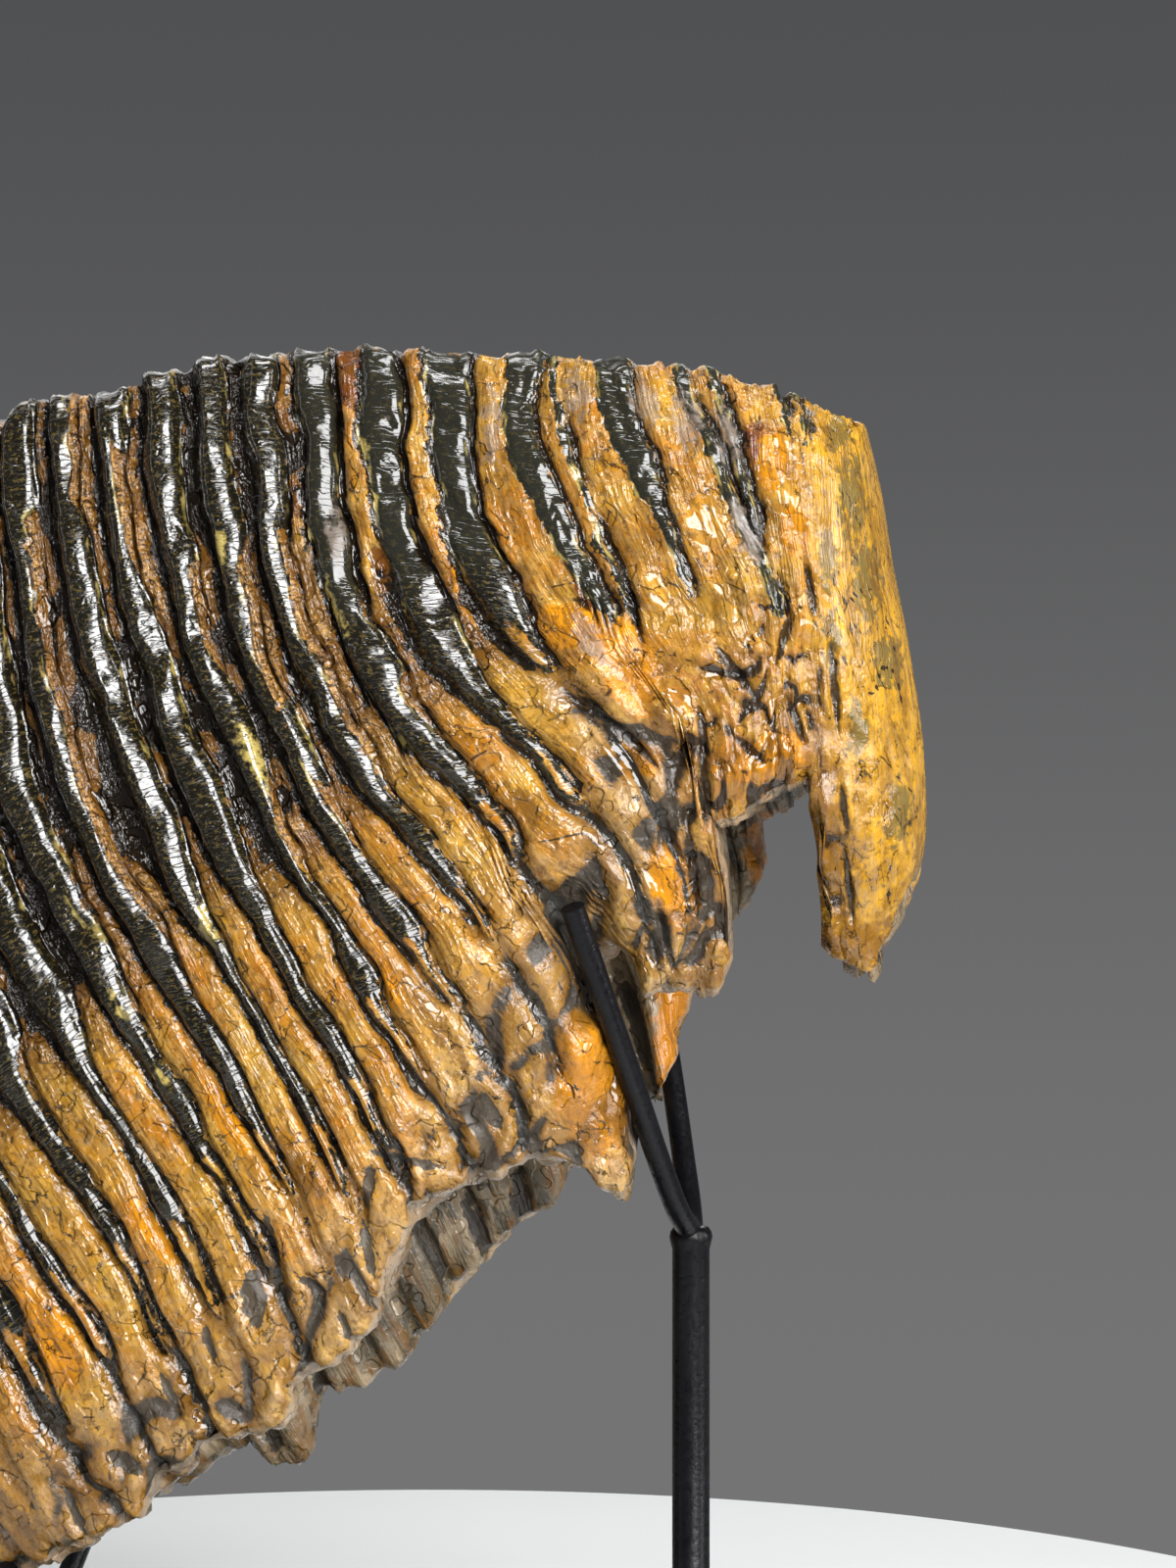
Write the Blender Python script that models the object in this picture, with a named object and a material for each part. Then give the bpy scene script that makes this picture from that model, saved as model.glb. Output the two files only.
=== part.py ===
"""Fossil mammoth molar lying in two rod cradles of a welded steel stand.

The tooth is held with its worn chewing edge up, as it sat in the upper jaw turned over.
X runs from the back of the tooth to its front, Y from the near side to the far side, Z up.
The origin is at the middle of the base plate's underside.

The tooth is a stack of thin plates, so it is lofted from one ring to the next along the stack.
A place on it is given by two numbers: the plate, counted from the front, with the crest of each
plate at a whole number, and the level, which is 0 at the worn edge and 1 where the roots start.
"""

import math

import bmesh
import bpy
import numpy as np
from mathutils import Vector, noise

MM = 0.001
TOUCH_GAP = 0.3  # kept between touching pieces, in mm as every size below

# ---- the tooth's side view: (x, z) of each plate at each level
PLATES = (-1, 0, 3, 6, 9, 12, 15, 18, 21, 24, 26)
LEVELS = (0.0, 0.2, 0.4, 0.6, 0.8, 1.0, 1.3)
SHEET = (
    ((107, 287), (111, 270), (114, 253), (117, 234), (119, 217), (120, 201), (116, 174)),
    ((105, 287), (108, 271), (110, 254), (113, 237), (115, 219), (116, 203), (114, 170)),
    ((94, 292), (96, 278), (97, 263), (99, 247), (99, 229), (99, 211), (100, 172)),
    ((66, 298), (70, 279), (76, 261), (84, 244), (88, 225), (87, 204), (93, 174)),
    ((26, 301), (27, 277), (34, 256), (44, 237), (62, 221), (73, 197), (76, 170)),
    ((-15, 302), (-11, 270), (-3, 240), (13, 212), (31, 187), (47, 162), (58, 129)),
    ((-47, 295), (-41, 260), (-30, 225), (-15, 190), (3, 158), (20, 124), (30, 100)),
    ((-76, 290), (-72, 245), (-62, 202), (-40, 163), (-19, 125), (-2, 89), (6, 68)),
    ((-100, 277), (-97, 231), (-92, 185), (-78, 142), (-54, 103), (-35, 65), (-26, 45)),
    ((-119, 249), (-121, 205), (-118, 161), (-109, 119), (-92, 79), (-67, 42), (-58, 26)),
    ((-129, 225), (-132, 190), (-130, 152), (-121, 113), (-104, 74), (-80, 38), (-72, 24)),
)

# ---- the tooth's width, as (plate, half width) and as (level, share of it)
HALF_WIDTHS = ((-1, 31), (3, 38), (6, 42), (9, 44), (12, 45.5), (15, 45.5), (18, 44), (21, 41), (26, 33))
LEVEL_SHARES = ((0, 0.86), (0.15, 0.94), (0.5, 1.0), (0.8, 0.98), (1.0, 0.9), (1.3, 0.62))
FRONT_ROUND = (3.0, 4.05)  # plate where the front starts to round off, and plates it takes
BACK_ROUND = (22.5, 3.55)
ROOT_START, ROOT_TIP = LEVELS[-2:]
FRONT_ROOT_TAPER = 0.42  # share of its width that the front root loses down to its tip

# ---- the furrow between two root lobes, where the front cradle holds the tooth
FURROW_PLATE, FURROW_SPAN = 11.1, 0.5
FURROW_START, FURROW_FADE, FURROW_DEPTH = 0.84, 0.22, 16.0

# ---- where the root walls end on each side, and how high the hollow between them reaches
NEAR_ENDS = (
    (-1, 1.08), (0, 1.18), (1, 1.26), (2.5, 1.25), (2.78, 1.0), (5, 0.99), (7.78, 1.0),
    (8, 1.28), (8.5, 1.33), (9, 1.32), (9.5, 1.27), (10, 1.2), (10.5, 1.12), (10.78, 1.0),
    (11.28, 1.0), (11.5, 1.27), (11.78, 1.34), (12.28, 1.3), (12.78, 1.18), (13.5, 1.1),
    (14.28, 1.05), (15, 1.0), (16, 1.01), (17, 1.03), (18.5, 0.99), (19, 1.02), (20.28, 0.99),
    (21.78, 1.02), (23, 1.0), (26, 0.98),
)
FAR_ENDS = (
    (-1, 1.08), (0, 1.17), (1, 1.25), (2.5, 1.24), (2.78, 1.0), (5, 0.98), (7.28, 1.0),
    (7.5, 1.08), (8.5, 1.18), (10.28, 1.15), (10.5, 1.2), (10.78, 1.25), (11.5, 1.25), (11.78, 1.2),
    (12, 1.16), (13, 1.14), (14, 1.2), (15.28, 1.13), (16.5, 1.07), (18, 1.07), (18.78, 1.05),
    (19.5, 1.01), (19.78, 1.04), (20, 1.12), (20.5, 1.15), (20.78, 1.1), (21, 1.02), (26, 0.97),
)
HOLLOW_TOPS = (
    (-1, 1.1), (0, 1.21), (1, 1.3), (2.5, 1.29), (2.78, 0.97), (7.5, 0.95), (9, 0.94), (11, 0.9),
    (13, 0.88), (17, 0.86), (21, 0.86), (24, 0.91), (26, 0.98),
)
WALL_START, WALL_FULL = 0.3, 0.72  # shares of the half width where a root wall starts and is full

# ---- ridges: one to a plate, strong down to the end of the enamel and faint on the roots
RIDGE_HEIGHTS = ((-1, 0.3), (3, 1.2), (7, 2.0), (11, 3.0), (26, 3.6))
ENAMEL_ENDS = ((-1, 0.1), (2, 0.4), (4, 0.6), (6, 0.62), (8, 0.72), (10, 0.8), (12, 0.88), (26, 0.9))
RIDGE_FULLNESS = 0.7  # under 1 makes the ridges broad and the grooves between them narrow
ROOT_RIDGE_SHARE = 0.4
WORN_RIDGE_SHARE = 0.25  # what is left of a ridge on the worn chewing surface
RIDGE_FADE = 0.15  # levels over which a ridge fades
FIRST_UNWORN, FULL_DOME = 17.0, 21.0
DOME_DROP = 14.0  # how far the shoulders of an unworn plate stand below its middle
WORN_DIP = 1.5  # how far the chewing surface sinks to its middle
UNDER_RIDGE = 2.4  # how far each plate stands out in the hollow underneath
LUMP_HEIGHT, LUMP_SPAN, LUMP_SEED = 1.1, 22.0, 8

# ---- how finely the tooth is faceted
FRONT_ANGLES = (90, 78, 65, 52, 40, 30)  # degrees round the front, from its tip
FIRST_PLATE, FIRST_WHOLE_PLATE, LAST_WHOLE_PLATE = -1, 2, 25
STATION_PHASES = (-0.5, -0.22, 0.0, 0.28)
BACK_STATIONS = (25.5, 25.8, 26.0)
TOP_STEPS = 7
UNDER_STEPS = 8
SIDE_SHARES = (0.0, 0.03, 0.12, 0.23, 0.34, 0.45, 0.56, 0.67, 0.78, 0.88, 0.96, 1.0)
TOP_EDGE, BOTTOM_EDGE = 0.95, 0.88  # how far the side's first and last points are drawn in

# ---- the stand
BASE_SIZE = (210.0, 110.0, 8.0)
BASE_CORNER, CORNER_STEPS = 6.0, 6
BASE_BEVEL, BEVEL_STEPS = 0.8, 2
POST_RADIUS = 4.0
ROD_RADIUS = 2.5
RIGHT_ARM = ((70.0, 0.0, 115.5), (68.9, 6.5, 119.0), (66.2, 14.5, 129.5), (61.8, 25.0, 148.0),
             (57.0, 34.5, 167.0), (52.0, 43.1, 186.0))
LEFT_ARM = ((-80.0, 0.0, 15.0), (-79.2, 7.0, 17.5), (-77.2, 15.0, 25.5), (-75.0, 22.3, 34.5),
            (-73.0, 29.1, 43.5))
ROD_STEP = 6.0
ROD_RESOLUTION = 3
POST_SIDES = 20
FOOT_WELD = ((0.0, 1.6), (1.05, 1.6), (3.0, 0.0))  # (above the foot, how far it stands out)
TOP_WELD = ((3.2, 0.0), (2.0, 0.35), (0.8, 0.15), (0.0, -0.8))  # (below the top, how far it stands out)
SEAT_HEIGHT = 0.75  # how far a post's top reaches above the middle of the rod on it

# ---- finishes: name, colour, roughness
FOSSIL = ("fossil enamel and cement", (0.35, 0.19, 0.07), 0.3)
PAINT = ("satin black paint", (0.012, 0.012, 0.013), 0.35)
SHARP_ANGLE = 40  # degrees between two faces, past which their edge stays sharp


def smooth(knots, values, at):
    """Values at the places asked for, on a smooth curve through the knots."""
    knots = np.asarray(knots, float)
    values = np.asarray(values, float)
    at = np.asarray(at, float)
    slopes = np.gradient(values, knots, axis=0)
    i = np.clip(np.searchsorted(knots, at, side="right") - 1, 0, len(knots) - 2)
    step = knots[i + 1] - knots[i]
    u = (at - knots[i]) / step
    shape = u.shape + (1,) * (values.ndim - 1)
    u = u.reshape(shape)
    step = step.reshape(shape)
    return (
        (1 + 2 * u) * (1 - u) ** 2 * values[i]
        + u * (1 - u) ** 2 * step * slopes[i]
        + u**2 * (3 - 2 * u) * values[i + 1]
        + u**2 * (u - 1) * step * slopes[i + 1]
    )


def straight(pairs, at):
    """Values at the places asked for, on straight lines through (place, value) pairs."""
    places, values = zip(*pairs)
    return np.interp(at, places, values)


def ease(x):
    """0 below 0 and 1 above 1, with a soft start and end."""
    x = np.clip(x, 0.0, 1.0)
    return x * x * (3 - 2 * x)


def half_width(plate, level):
    width = smooth(*zip(*HALF_WIDTHS), plate) * smooth(*zip(*LEVEL_SHARES), level)
    width = width - FURROW_DEPTH * math.exp(-((plate - FURROW_PLATE) / FURROW_SPAN) ** 2) * ease(
        (level - FURROW_START) / FURROW_FADE
    )
    if plate < FRONT_ROUND[0]:
        width = width * (1 - FRONT_ROOT_TAPER * ease((level - ROOT_START) / (ROOT_TIP - ROOT_START)))
    front = max(0.0, FRONT_ROUND[0] - plate) / FRONT_ROUND[1]
    back = max(0.0, plate - BACK_ROUND[0]) / BACK_ROUND[1]
    return width * math.sqrt(1 - front**2) * math.sqrt(1 - back**2)


def ridge(plate):
    """From -1 in the groove between two plates to 1 on a plate's crest."""
    wave = 0.5 + 0.5 * math.cos(2 * math.pi * plate)
    return 2 * wave**RIDGE_FULLNESS - 1


def side_relief(plate, level):
    """How far the side stands out, in mm."""
    height = float(straight(RIDGE_HEIGHTS, plate))
    end = float(straight(ENAMEL_ENDS, plate))
    fade = 1 - (1 - ROOT_RIDGE_SHARE) * ease((level - end) / RIDGE_FADE)
    return 0.5 * height * ridge(plate) * fade


def ring(plate):
    """(y, level) of each point round the stack at this plate: top, far side, underside, near side."""
    rows = smooth(PLATES, SHEET, plate)
    length = np.hypot(*np.diff(rows[:6], axis=0).T).sum()
    unworn = float(ease((plate - FIRST_UNWORN) / (FULL_DOME - FIRST_UNWORN)))
    crown_share = WORN_RIDGE_SHARE + (1 - WORN_RIDGE_SHARE) * unworn
    crown = float(straight(RIDGE_HEIGHTS, plate)) * ridge(plate) * crown_share
    near_end = float(straight(NEAR_ENDS, plate))
    far_end = float(straight(FAR_ENDS, plate))
    hollow = float(straight(HOLLOW_TOPS, plate))

    def top_level(share):
        dip = WORN_DIP * (1 - share**2) * (1 - unworn) + DOME_DROP * share**2 * unworn
        return (dip - crown) / length

    def side(end, sign):
        levels = top_level(TOP_EDGE) + np.array(SIDE_SHARES) * (end - top_level(TOP_EDGE))
        out = half_width(plate, np.clip(levels, 0, ROOT_TIP)) + side_relief(plate, levels)
        out[0] *= TOP_EDGE
        out[-1] *= BOTTOM_EDGE
        return [(sign * y, level) for y, level in zip(out, levels)]

    top = []
    for share in np.linspace(-1, 1, TOP_STEPS + 2)[1:-1]:
        top.append((share * TOP_EDGE * half_width(plate, 0.0), top_level(share)))
    under = []
    for share in np.linspace(1, -1, UNDER_STEPS + 2)[1:-1]:
        wall = float(ease((abs(share) - WALL_START) / (WALL_FULL - WALL_START)))
        level = hollow + ((far_end if share > 0 else near_end) - hollow) * wall
        if plate > FRONT_ROUND[0]:
            level += 0.5 * UNDER_RIDGE * ridge(plate) / length
        under.append((share * BOTTOM_EDGE * half_width(plate, min(level, ROOT_TIP)), level))
    points = top + side(far_end, 1) + under + side(near_end, -1)[::-1]
    return rows, np.array(points)


def stations():
    """The places along the stack where a ring is drawn, closer at the rounded front."""
    reach = FRONT_ROUND[0] - FIRST_PLATE
    front = [FRONT_ROUND[0] - reach * math.sin(math.radians(angle)) for angle in FRONT_ANGLES]
    plates = range(FIRST_WHOLE_PLATE, LAST_WHOLE_PLATE + 1)
    places = [plate + phase for plate in plates for phase in STATION_PHASES]
    return front + [place for place in places if place > front[-1] + 0.1] + list(BACK_STATIONS)


def lumps(point):
    """Slow swells that keep the surface from looking turned on a machine."""
    return LUMP_HEIGHT * noise.noise_vector(Vector(point) / LUMP_SPAN)


def tooth():
    noise.seed_set(LUMP_SEED)
    mesh = bmesh.new()
    rings = []
    for plate in stations():
        rows, points = ring(plate)
        sheet = smooth(LEVELS, rows, points[:, 1])
        verts = []
        for (x, z), y in zip(sheet, points[:, 0]):
            place = Vector((x, y, z))
            verts.append(mesh.verts.new((place + lumps(place)) * MM))
        rings.append(verts)
    count = len(rings[0])
    for one, two in zip(rings, rings[1:]):
        for i in range(count):
            j = (i + 1) % count
            mesh.faces.new((one[i], one[j], two[j], two[i]))
    for verts in (rings[0], rings[-1]):
        cap(mesh, verts)
    bmesh.ops.recalc_face_normals(mesh, faces=mesh.faces)
    bmesh.ops.triangulate(mesh, faces=mesh.faces)
    return finished("mammoth_tooth", mesh, FOSSIL)


def cap(mesh, verts):
    """Closes an end of the stack, with a ladder of faces between its two sides."""
    sides = len(SIDE_SHARES)
    far = verts[TOP_STEPS:TOP_STEPS + sides]
    near = verts[-sides:][::-1]
    mesh.faces.new([near[0], *verts[:TOP_STEPS], far[0]])
    mesh.faces.new([far[-1], *verts[TOP_STEPS + sides:-sides], near[-1]])
    for i in range(sides - 1):
        mesh.faces.new((near[i], far[i], far[i + 1], near[i + 1]))


def finished(name, mesh, finish):
    """A smooth-shaded object with its own material, from a bmesh."""
    data = bpy.data.meshes.new(name)
    mesh.to_mesh(data)
    mesh.free()
    data.shade_smooth()
    data.set_sharp_from_angle(angle=math.radians(SHARP_ANGLE))
    piece = bpy.data.objects.new(name, data)
    bpy.context.collection.objects.link(piece)
    data.materials.append(finish_material(finish))
    return piece


def finish_material(finish):
    name, colour, roughness = finish
    material = bpy.data.materials.get(name)
    if material:
        return material
    material = bpy.data.materials.new(name)
    material.use_nodes = True
    shader = material.node_tree.nodes["Principled BSDF"]
    shader.inputs["Base Color"].default_value = (*colour, 1)
    shader.inputs["Roughness"].default_value = roughness
    return material


def round_off(mesh, edges, offset, steps):
    bmesh.ops.bevel(mesh, geom=edges, offset=offset * MM, segments=steps, affect="EDGES", profile=0.5)


def base_plate():
    """A flat bar with rounded corners and its edges broken."""
    mesh = bmesh.new()
    bmesh.ops.create_cube(mesh, size=1.0)
    bmesh.ops.scale(mesh, vec=Vector(BASE_SIZE) * MM, verts=mesh.verts)
    bmesh.ops.translate(mesh, vec=(0, 0, BASE_SIZE[2] / 2 * MM), verts=mesh.verts)
    upright = [edge for edge in mesh.edges if abs(edge.verts[0].co.z - edge.verts[1].co.z) > MM]
    round_off(mesh, upright, BASE_CORNER, CORNER_STEPS)
    top = BASE_SIZE[2] * MM
    rim = [edge for edge in mesh.edges if all(vert.co.z > top * 0.99 for vert in edge.verts)]
    round_off(mesh, rim, BASE_BEVEL, BEVEL_STEPS)
    return finished("base_plate", mesh, PAINT)


def rod_route(arm):
    """Evenly spaced points along the whole bent rod, from its near tip to its far tip."""
    mirrored = [(x, -y, z) for x, y, z in arm[:0:-1]]
    corners = np.array(mirrored + list(arm))
    run = np.concatenate(([0], np.cumsum(np.linalg.norm(np.diff(corners, axis=0), axis=1))))
    steps = round(run[-1] / ROD_STEP)
    return smooth(run, corners, np.linspace(0, run[-1], steps + 1))


def rod(name, arm, radius=ROD_RADIUS):
    """A round rod bent along its route, with flat cut ends."""
    curve = bpy.data.curves.new(name, "CURVE")
    curve.dimensions = "3D"
    curve.bevel_depth = radius * MM
    curve.bevel_resolution = ROD_RESOLUTION
    curve.use_fill_caps = True
    route = rod_route(arm)
    spline = curve.splines.new("POLY")
    spline.points.add(len(route) - 1)
    for point, (x, y, z) in zip(spline.points, route):
        point.co = (x * MM, y * MM, z * MM, 1)
    spline.use_smooth = True
    piece = bpy.data.objects.new(name, curve)
    bpy.context.collection.objects.link(piece)
    curve.materials.append(finish_material(PAINT))
    return piece


def notch_cutter(name, arm):
    """A wire helper a little thicker than the rod, which cuts its seat."""
    curve = rod(f"{name}_curve", arm, ROD_RADIUS + TOUCH_GAP)
    helper = bpy.data.objects.new(name, bpy.data.meshes.new_from_object(curve))
    bpy.context.collection.objects.link(helper)
    bpy.data.objects.remove(curve, do_unlink=True)
    helper.hide_render = True
    helper.display_type = "WIRE"
    return helper


def post(name, arm):
    """A round bar standing on the base in a weld bead, its top notched for the bent rod on it."""
    x = arm[0][0]
    foot = BASE_SIZE[2] + TOUCH_GAP
    top = arm[0][2] + SEAT_HEIGHT
    profile = [(POST_RADIUS + rise, foot + above) for above, rise in FOOT_WELD]
    profile += [(POST_RADIUS + rise, top - below) for below, rise in TOP_WELD]
    mesh = bmesh.new()
    rings = []
    for radius, z in profile:
        verts = []
        for i in range(POST_SIDES):
            angle = 2 * math.pi * i / POST_SIDES
            place = (x + radius * math.cos(angle), radius * math.sin(angle), z)
            verts.append(mesh.verts.new(Vector(place) * MM))
        rings.append(verts)
    for low, high in zip(rings, rings[1:]):
        for i in range(POST_SIDES):
            j = (i + 1) % POST_SIDES
            mesh.faces.new((low[i], low[j], high[j], high[i]))
    mesh.faces.new(rings[0][::-1])
    mesh.faces.new(rings[-1])
    piece = finished(name, mesh, PAINT)
    cutter = notch_cutter(f"{name}_notch", arm)
    cut = piece.modifiers.new("notch", "BOOLEAN")
    cut.operation = "DIFFERENCE"
    cut.solver = "EXACT"
    cut.object = cutter
    return piece


def main():
    for old in list(bpy.data.objects):
        bpy.data.objects.remove(old, do_unlink=True)
    tooth()
    base_plate()
    rod("cradle_front", RIGHT_ARM)
    rod("cradle_back", LEFT_ARM)
    post("post_front", RIGHT_ARM)
    post("post_back", LEFT_ARM)


main()
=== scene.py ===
"""Fossil mammoth tooth on its welded stand, with every surface finished, in a plain studio.

The tooth is a stack of thin plates. A place on it is given by two numbers: the plate, counted from
the front, with the crest of each plate at a whole number, and the level, which is 0 at the worn
chewing edge and 1 where the roots start. Sizes are in mm unless a name says otherwise.
"""

import math
from collections import namedtuple

import bpy
import numpy as np
from bpy.props import FloatProperty, FloatVectorProperty, PointerProperty
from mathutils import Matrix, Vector, noise


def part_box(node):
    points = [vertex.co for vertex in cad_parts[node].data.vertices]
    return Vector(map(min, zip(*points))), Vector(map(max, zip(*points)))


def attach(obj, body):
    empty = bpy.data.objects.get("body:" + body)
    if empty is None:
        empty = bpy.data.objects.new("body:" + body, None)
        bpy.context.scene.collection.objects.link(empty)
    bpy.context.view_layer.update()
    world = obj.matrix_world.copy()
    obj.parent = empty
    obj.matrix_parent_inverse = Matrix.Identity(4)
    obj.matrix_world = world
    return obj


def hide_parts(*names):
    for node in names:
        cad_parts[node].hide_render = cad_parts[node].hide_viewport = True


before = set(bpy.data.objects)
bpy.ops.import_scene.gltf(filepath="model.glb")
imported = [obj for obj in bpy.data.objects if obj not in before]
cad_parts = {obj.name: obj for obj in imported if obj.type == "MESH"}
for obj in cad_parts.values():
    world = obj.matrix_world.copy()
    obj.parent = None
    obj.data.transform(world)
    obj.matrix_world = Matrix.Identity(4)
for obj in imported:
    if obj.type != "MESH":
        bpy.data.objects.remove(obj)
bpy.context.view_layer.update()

bl_info = {
    "name": "Fossil mammoth tooth",
    "version": (1, 0, 0),
    "blender": (4, 5, 0),
    "location": "3D View > Sidebar > Fossil",
    "description": "Builds a varnished fossil mammoth tooth, its rod stand and a plain studio",
    "category": "Add Mesh",
}

MM = 0.001
BODY = "root"

# ---- the tooth's side view: (x, z) of each plate at each level
PLATES = (-1, 0, 3, 6, 9, 12, 15, 18, 21, 24, 26)
LEVELS = (0.0, 0.2, 0.4, 0.6, 0.8, 1.0, 1.3)
SHEET = (
    ((107, 287), (111, 270), (114, 253), (117, 234), (119, 217), (120, 201), (116, 174)),
    ((105, 287), (108, 271), (110, 254), (113, 237), (115, 219), (116, 203), (114, 170)),
    ((94, 292), (96, 278), (97, 263), (99, 247), (99, 229), (99, 211), (100, 172)),
    ((66, 298), (70, 279), (76, 261), (84, 244), (88, 225), (87, 204), (93, 174)),
    ((26, 301), (27, 277), (34, 256), (44, 237), (62, 221), (73, 197), (76, 170)),
    ((-15, 302), (-11, 270), (-3, 240), (13, 212), (31, 187), (47, 162), (58, 129)),
    ((-47, 295), (-41, 260), (-30, 225), (-15, 190), (3, 158), (20, 124), (30, 100)),
    ((-76, 290), (-72, 245), (-62, 202), (-40, 163), (-19, 125), (-2, 89), (6, 68)),
    ((-100, 277), (-97, 231), (-92, 185), (-78, 142), (-54, 103), (-35, 65), (-26, 45)),
    ((-119, 249), (-121, 205), (-118, 161), (-109, 119), (-92, 79), (-67, 42), (-58, 26)),
    ((-129, 225), (-132, 190), (-130, 152), (-121, 113), (-104, 74), (-80, 38), (-72, 24)),
)
ROOT_START, ROOT_TIP = LEVELS[-2:]

# ---- sizes that turn plates, levels and shares into mm for the patterns that follow the plates
PLATE_PITCH = 12.0  # from one plate to the next
TALLEST = 190.0  # from level 0 to 1 at the tallest plates
TYPICAL_HALF_WIDTH = 40.0
SIDEWAYS_SHARE = 0.6  # patterns are drawn out sideways by the inverse of this

# ---- the tooth's width, as (plate, half width) and as (level, share of it)
HALF_WIDTHS = ((-1, 31), (3, 38), (6, 42), (9, 44), (12, 45.5), (15, 45.5), (18, 44), (21, 41), (26, 33))
LEVEL_SHARES = ((0, 0.86), (0.15, 0.94), (0.5, 1.0), (0.8, 0.98), (1.0, 0.9), (1.3, 0.62))
FRONT_ROUND = (3.0, 4.05)  # plate where the front starts to round off, and plates it takes
BACK_ROUND = (22.5, 3.55)
FRONT_ROOT_TAPER = 0.42  # share of its width that the front root loses down to its tip

# ---- the furrow between two root lobes, where the front cradle holds the tooth
FURROW_PLATE, FURROW_SPAN = 11.1, 0.5
FURROW_START, FURROW_FADE, FURROW_DEPTH = 0.84, 0.22, 16.0

# ---- where the root walls end on each side, and how high the hollow between them reaches
NEAR_ENDS = (
    (-1, 1.08), (0, 1.18), (1, 1.26), (2.5, 1.25), (2.78, 1.0), (5, 0.99), (7.78, 1.0),
    (8, 1.28), (8.5, 1.33), (9, 1.32), (9.5, 1.27), (10, 1.2), (10.5, 1.12), (10.78, 1.0),
    (11.28, 1.0), (11.5, 1.27), (11.78, 1.34), (12.28, 1.3), (12.78, 1.18), (13.5, 1.1),
    (14.28, 1.05), (15, 1.0), (16, 1.01), (17, 1.03), (18.5, 0.99), (19, 1.02), (20.28, 0.99),
    (21.78, 1.02), (23, 1.0), (26, 0.98),
)
FAR_ENDS = (
    (-1, 1.08), (0, 1.17), (1, 1.25), (2.5, 1.24), (2.78, 1.0), (5, 0.98), (7.28, 1.0),
    (7.5, 1.08), (8.5, 1.18), (10.28, 1.15), (10.5, 1.2), (10.78, 1.25), (11.5, 1.25), (11.78, 1.2),
    (12, 1.16), (13, 1.14), (14, 1.2), (15.28, 1.13), (16.5, 1.07), (18, 1.07), (18.78, 1.05),
    (19.5, 1.01), (19.78, 1.04), (20, 1.12), (20.5, 1.15), (20.78, 1.1), (21, 1.02), (26, 0.97),
)
HOLLOW_TOPS = (
    (-1, 1.1), (0, 1.21), (1, 1.3), (2.5, 1.29), (2.78, 0.97), (7.5, 0.95), (9, 0.94), (11, 0.9),
    (13, 0.88), (17, 0.86), (21, 0.86), (24, 0.91), (26, 0.98),
)
WALL_START, WALL_FULL = 0.3, 0.72  # shares of the half width where a root wall starts and is whole
UNDER_RIDGE = 2.4  # height of the ribs across the hollow

# ---- the chewing surface: dished where it is worn, domed where the plates are not worn yet
FIRST_UNWORN, FULL_DOME = 17.0, 21.0
DOME_DROP, WORN_DIP = 14.0, 1.5
TOP_EDGE, BOTTOM_EDGE = 0.95, 0.88  # shares of the half width where its edges round off
TOP_BEVEL, BOTTOM_BEVEL = 3.0, 5.0  # how far down a side those edges take to round off

# ---- how finely the tooth is drawn
PHASES = (-0.5, -0.43, -0.37, -0.31, -0.26, -0.21, -0.15, -0.07, 0.01, 0.09, 0.17, 0.24, 0.3, 0.36, 0.43)
FRONT_STEPS, FRONT_SWEEP = 22, (90, 30)  # rings round the front, and the degrees they turn through
BACK_STATIONS = (25.6, 25.7, 25.8, 25.88, 25.95, 26.0)
TOP_POINTS, FAR_POINTS, UNDER_POINTS, NEAR_POINTS = 30, 64, 34, 110
LEVEL_LIMITS = (-0.02, 1.34)  # no point is drawn beyond them
BOX_MARGIN = 0.02  # kept inside the box of the solid tooth
SWELL_HEIGHT, SWELL_SPAN, SWELL_SEED = 1.1, 22.0, 8  # slow swells that bend the whole surface

# ---- where each kind of surface starts, as (plate or level, how much more until it is whole)
FRONT_FACE = (3.0, 1.6)
FIRST_PLATES = (8.45, 0.35)
RIBBED_PLATES, RIBBED_LEVELS = (12.2, 1.4), (0.46, 0.12)
TONGUE_LEVELS = (0.52, 0.16)
LAST_PLATE = (25.3, 0.15)
RIDGE_HEIGHTS = ((-1, 0.3), (3, 1.2), (7, 2.0), (11, 3.0), (26, 3.6))
ENAMEL_ENDS = (
    (8.6, 0.62), (9.3, 0.62), (9.7, 0.8), (10.5, 0.82), (11, 0.78), (12, 0.84), (13, 0.84),
    (14, 0.86), (15, 0.91), (16, 0.88), (17, 0.84), (18, 0.82), (19, 0.85), (20, 0.83), (26, 0.88),
)

# ---- how the surface runs from one plate to the next, in three kinds of place.
# before, after: the enamel on each side of the crest line; gap_after, gap_before: the gaps that
# follow the enamel and come before the next one; all four are shares of the pitch. crest: height
# of the enamel; fall: how far its lit face drops; cement: height of the cement; cement_fall: how
# far it drops towards the next plate; floor: bottom of the gaps. steepness: of the dark face.
Profile = namedtuple(
    "Profile", "before after gap_after gap_before crest fall cement cement_fall floor steepness"
)
RIDGED = Profile(0.44, 0.31, -0.02, 0.04, 2.4, 2.2, -0.4, 1.2, -2.6, 2.0)
RIBBED = Profile(0.32, 0.23, 0.07, -0.03, 1.1, 1.4, 1.4, 0.2, -2.5, 4.0)
TONGUED = Profile(0.21, 0.12, 0.02, 0.05, 1.0, 0.8, 1.3, 0.3, -1.9, 3.0)
CREST_PLACE = -0.2  # where the crest lies between the enamel's two edges, at -1 and 1
HALF_GROOVE = 0.08  # half width of the grooves that run on down the root, as a share of the pitch
BLOCK_SIZE = 17.0  # across a block of root cement
FINGER_SPAN = 9.0  # between the finger-like tips of an unworn plate

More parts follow.
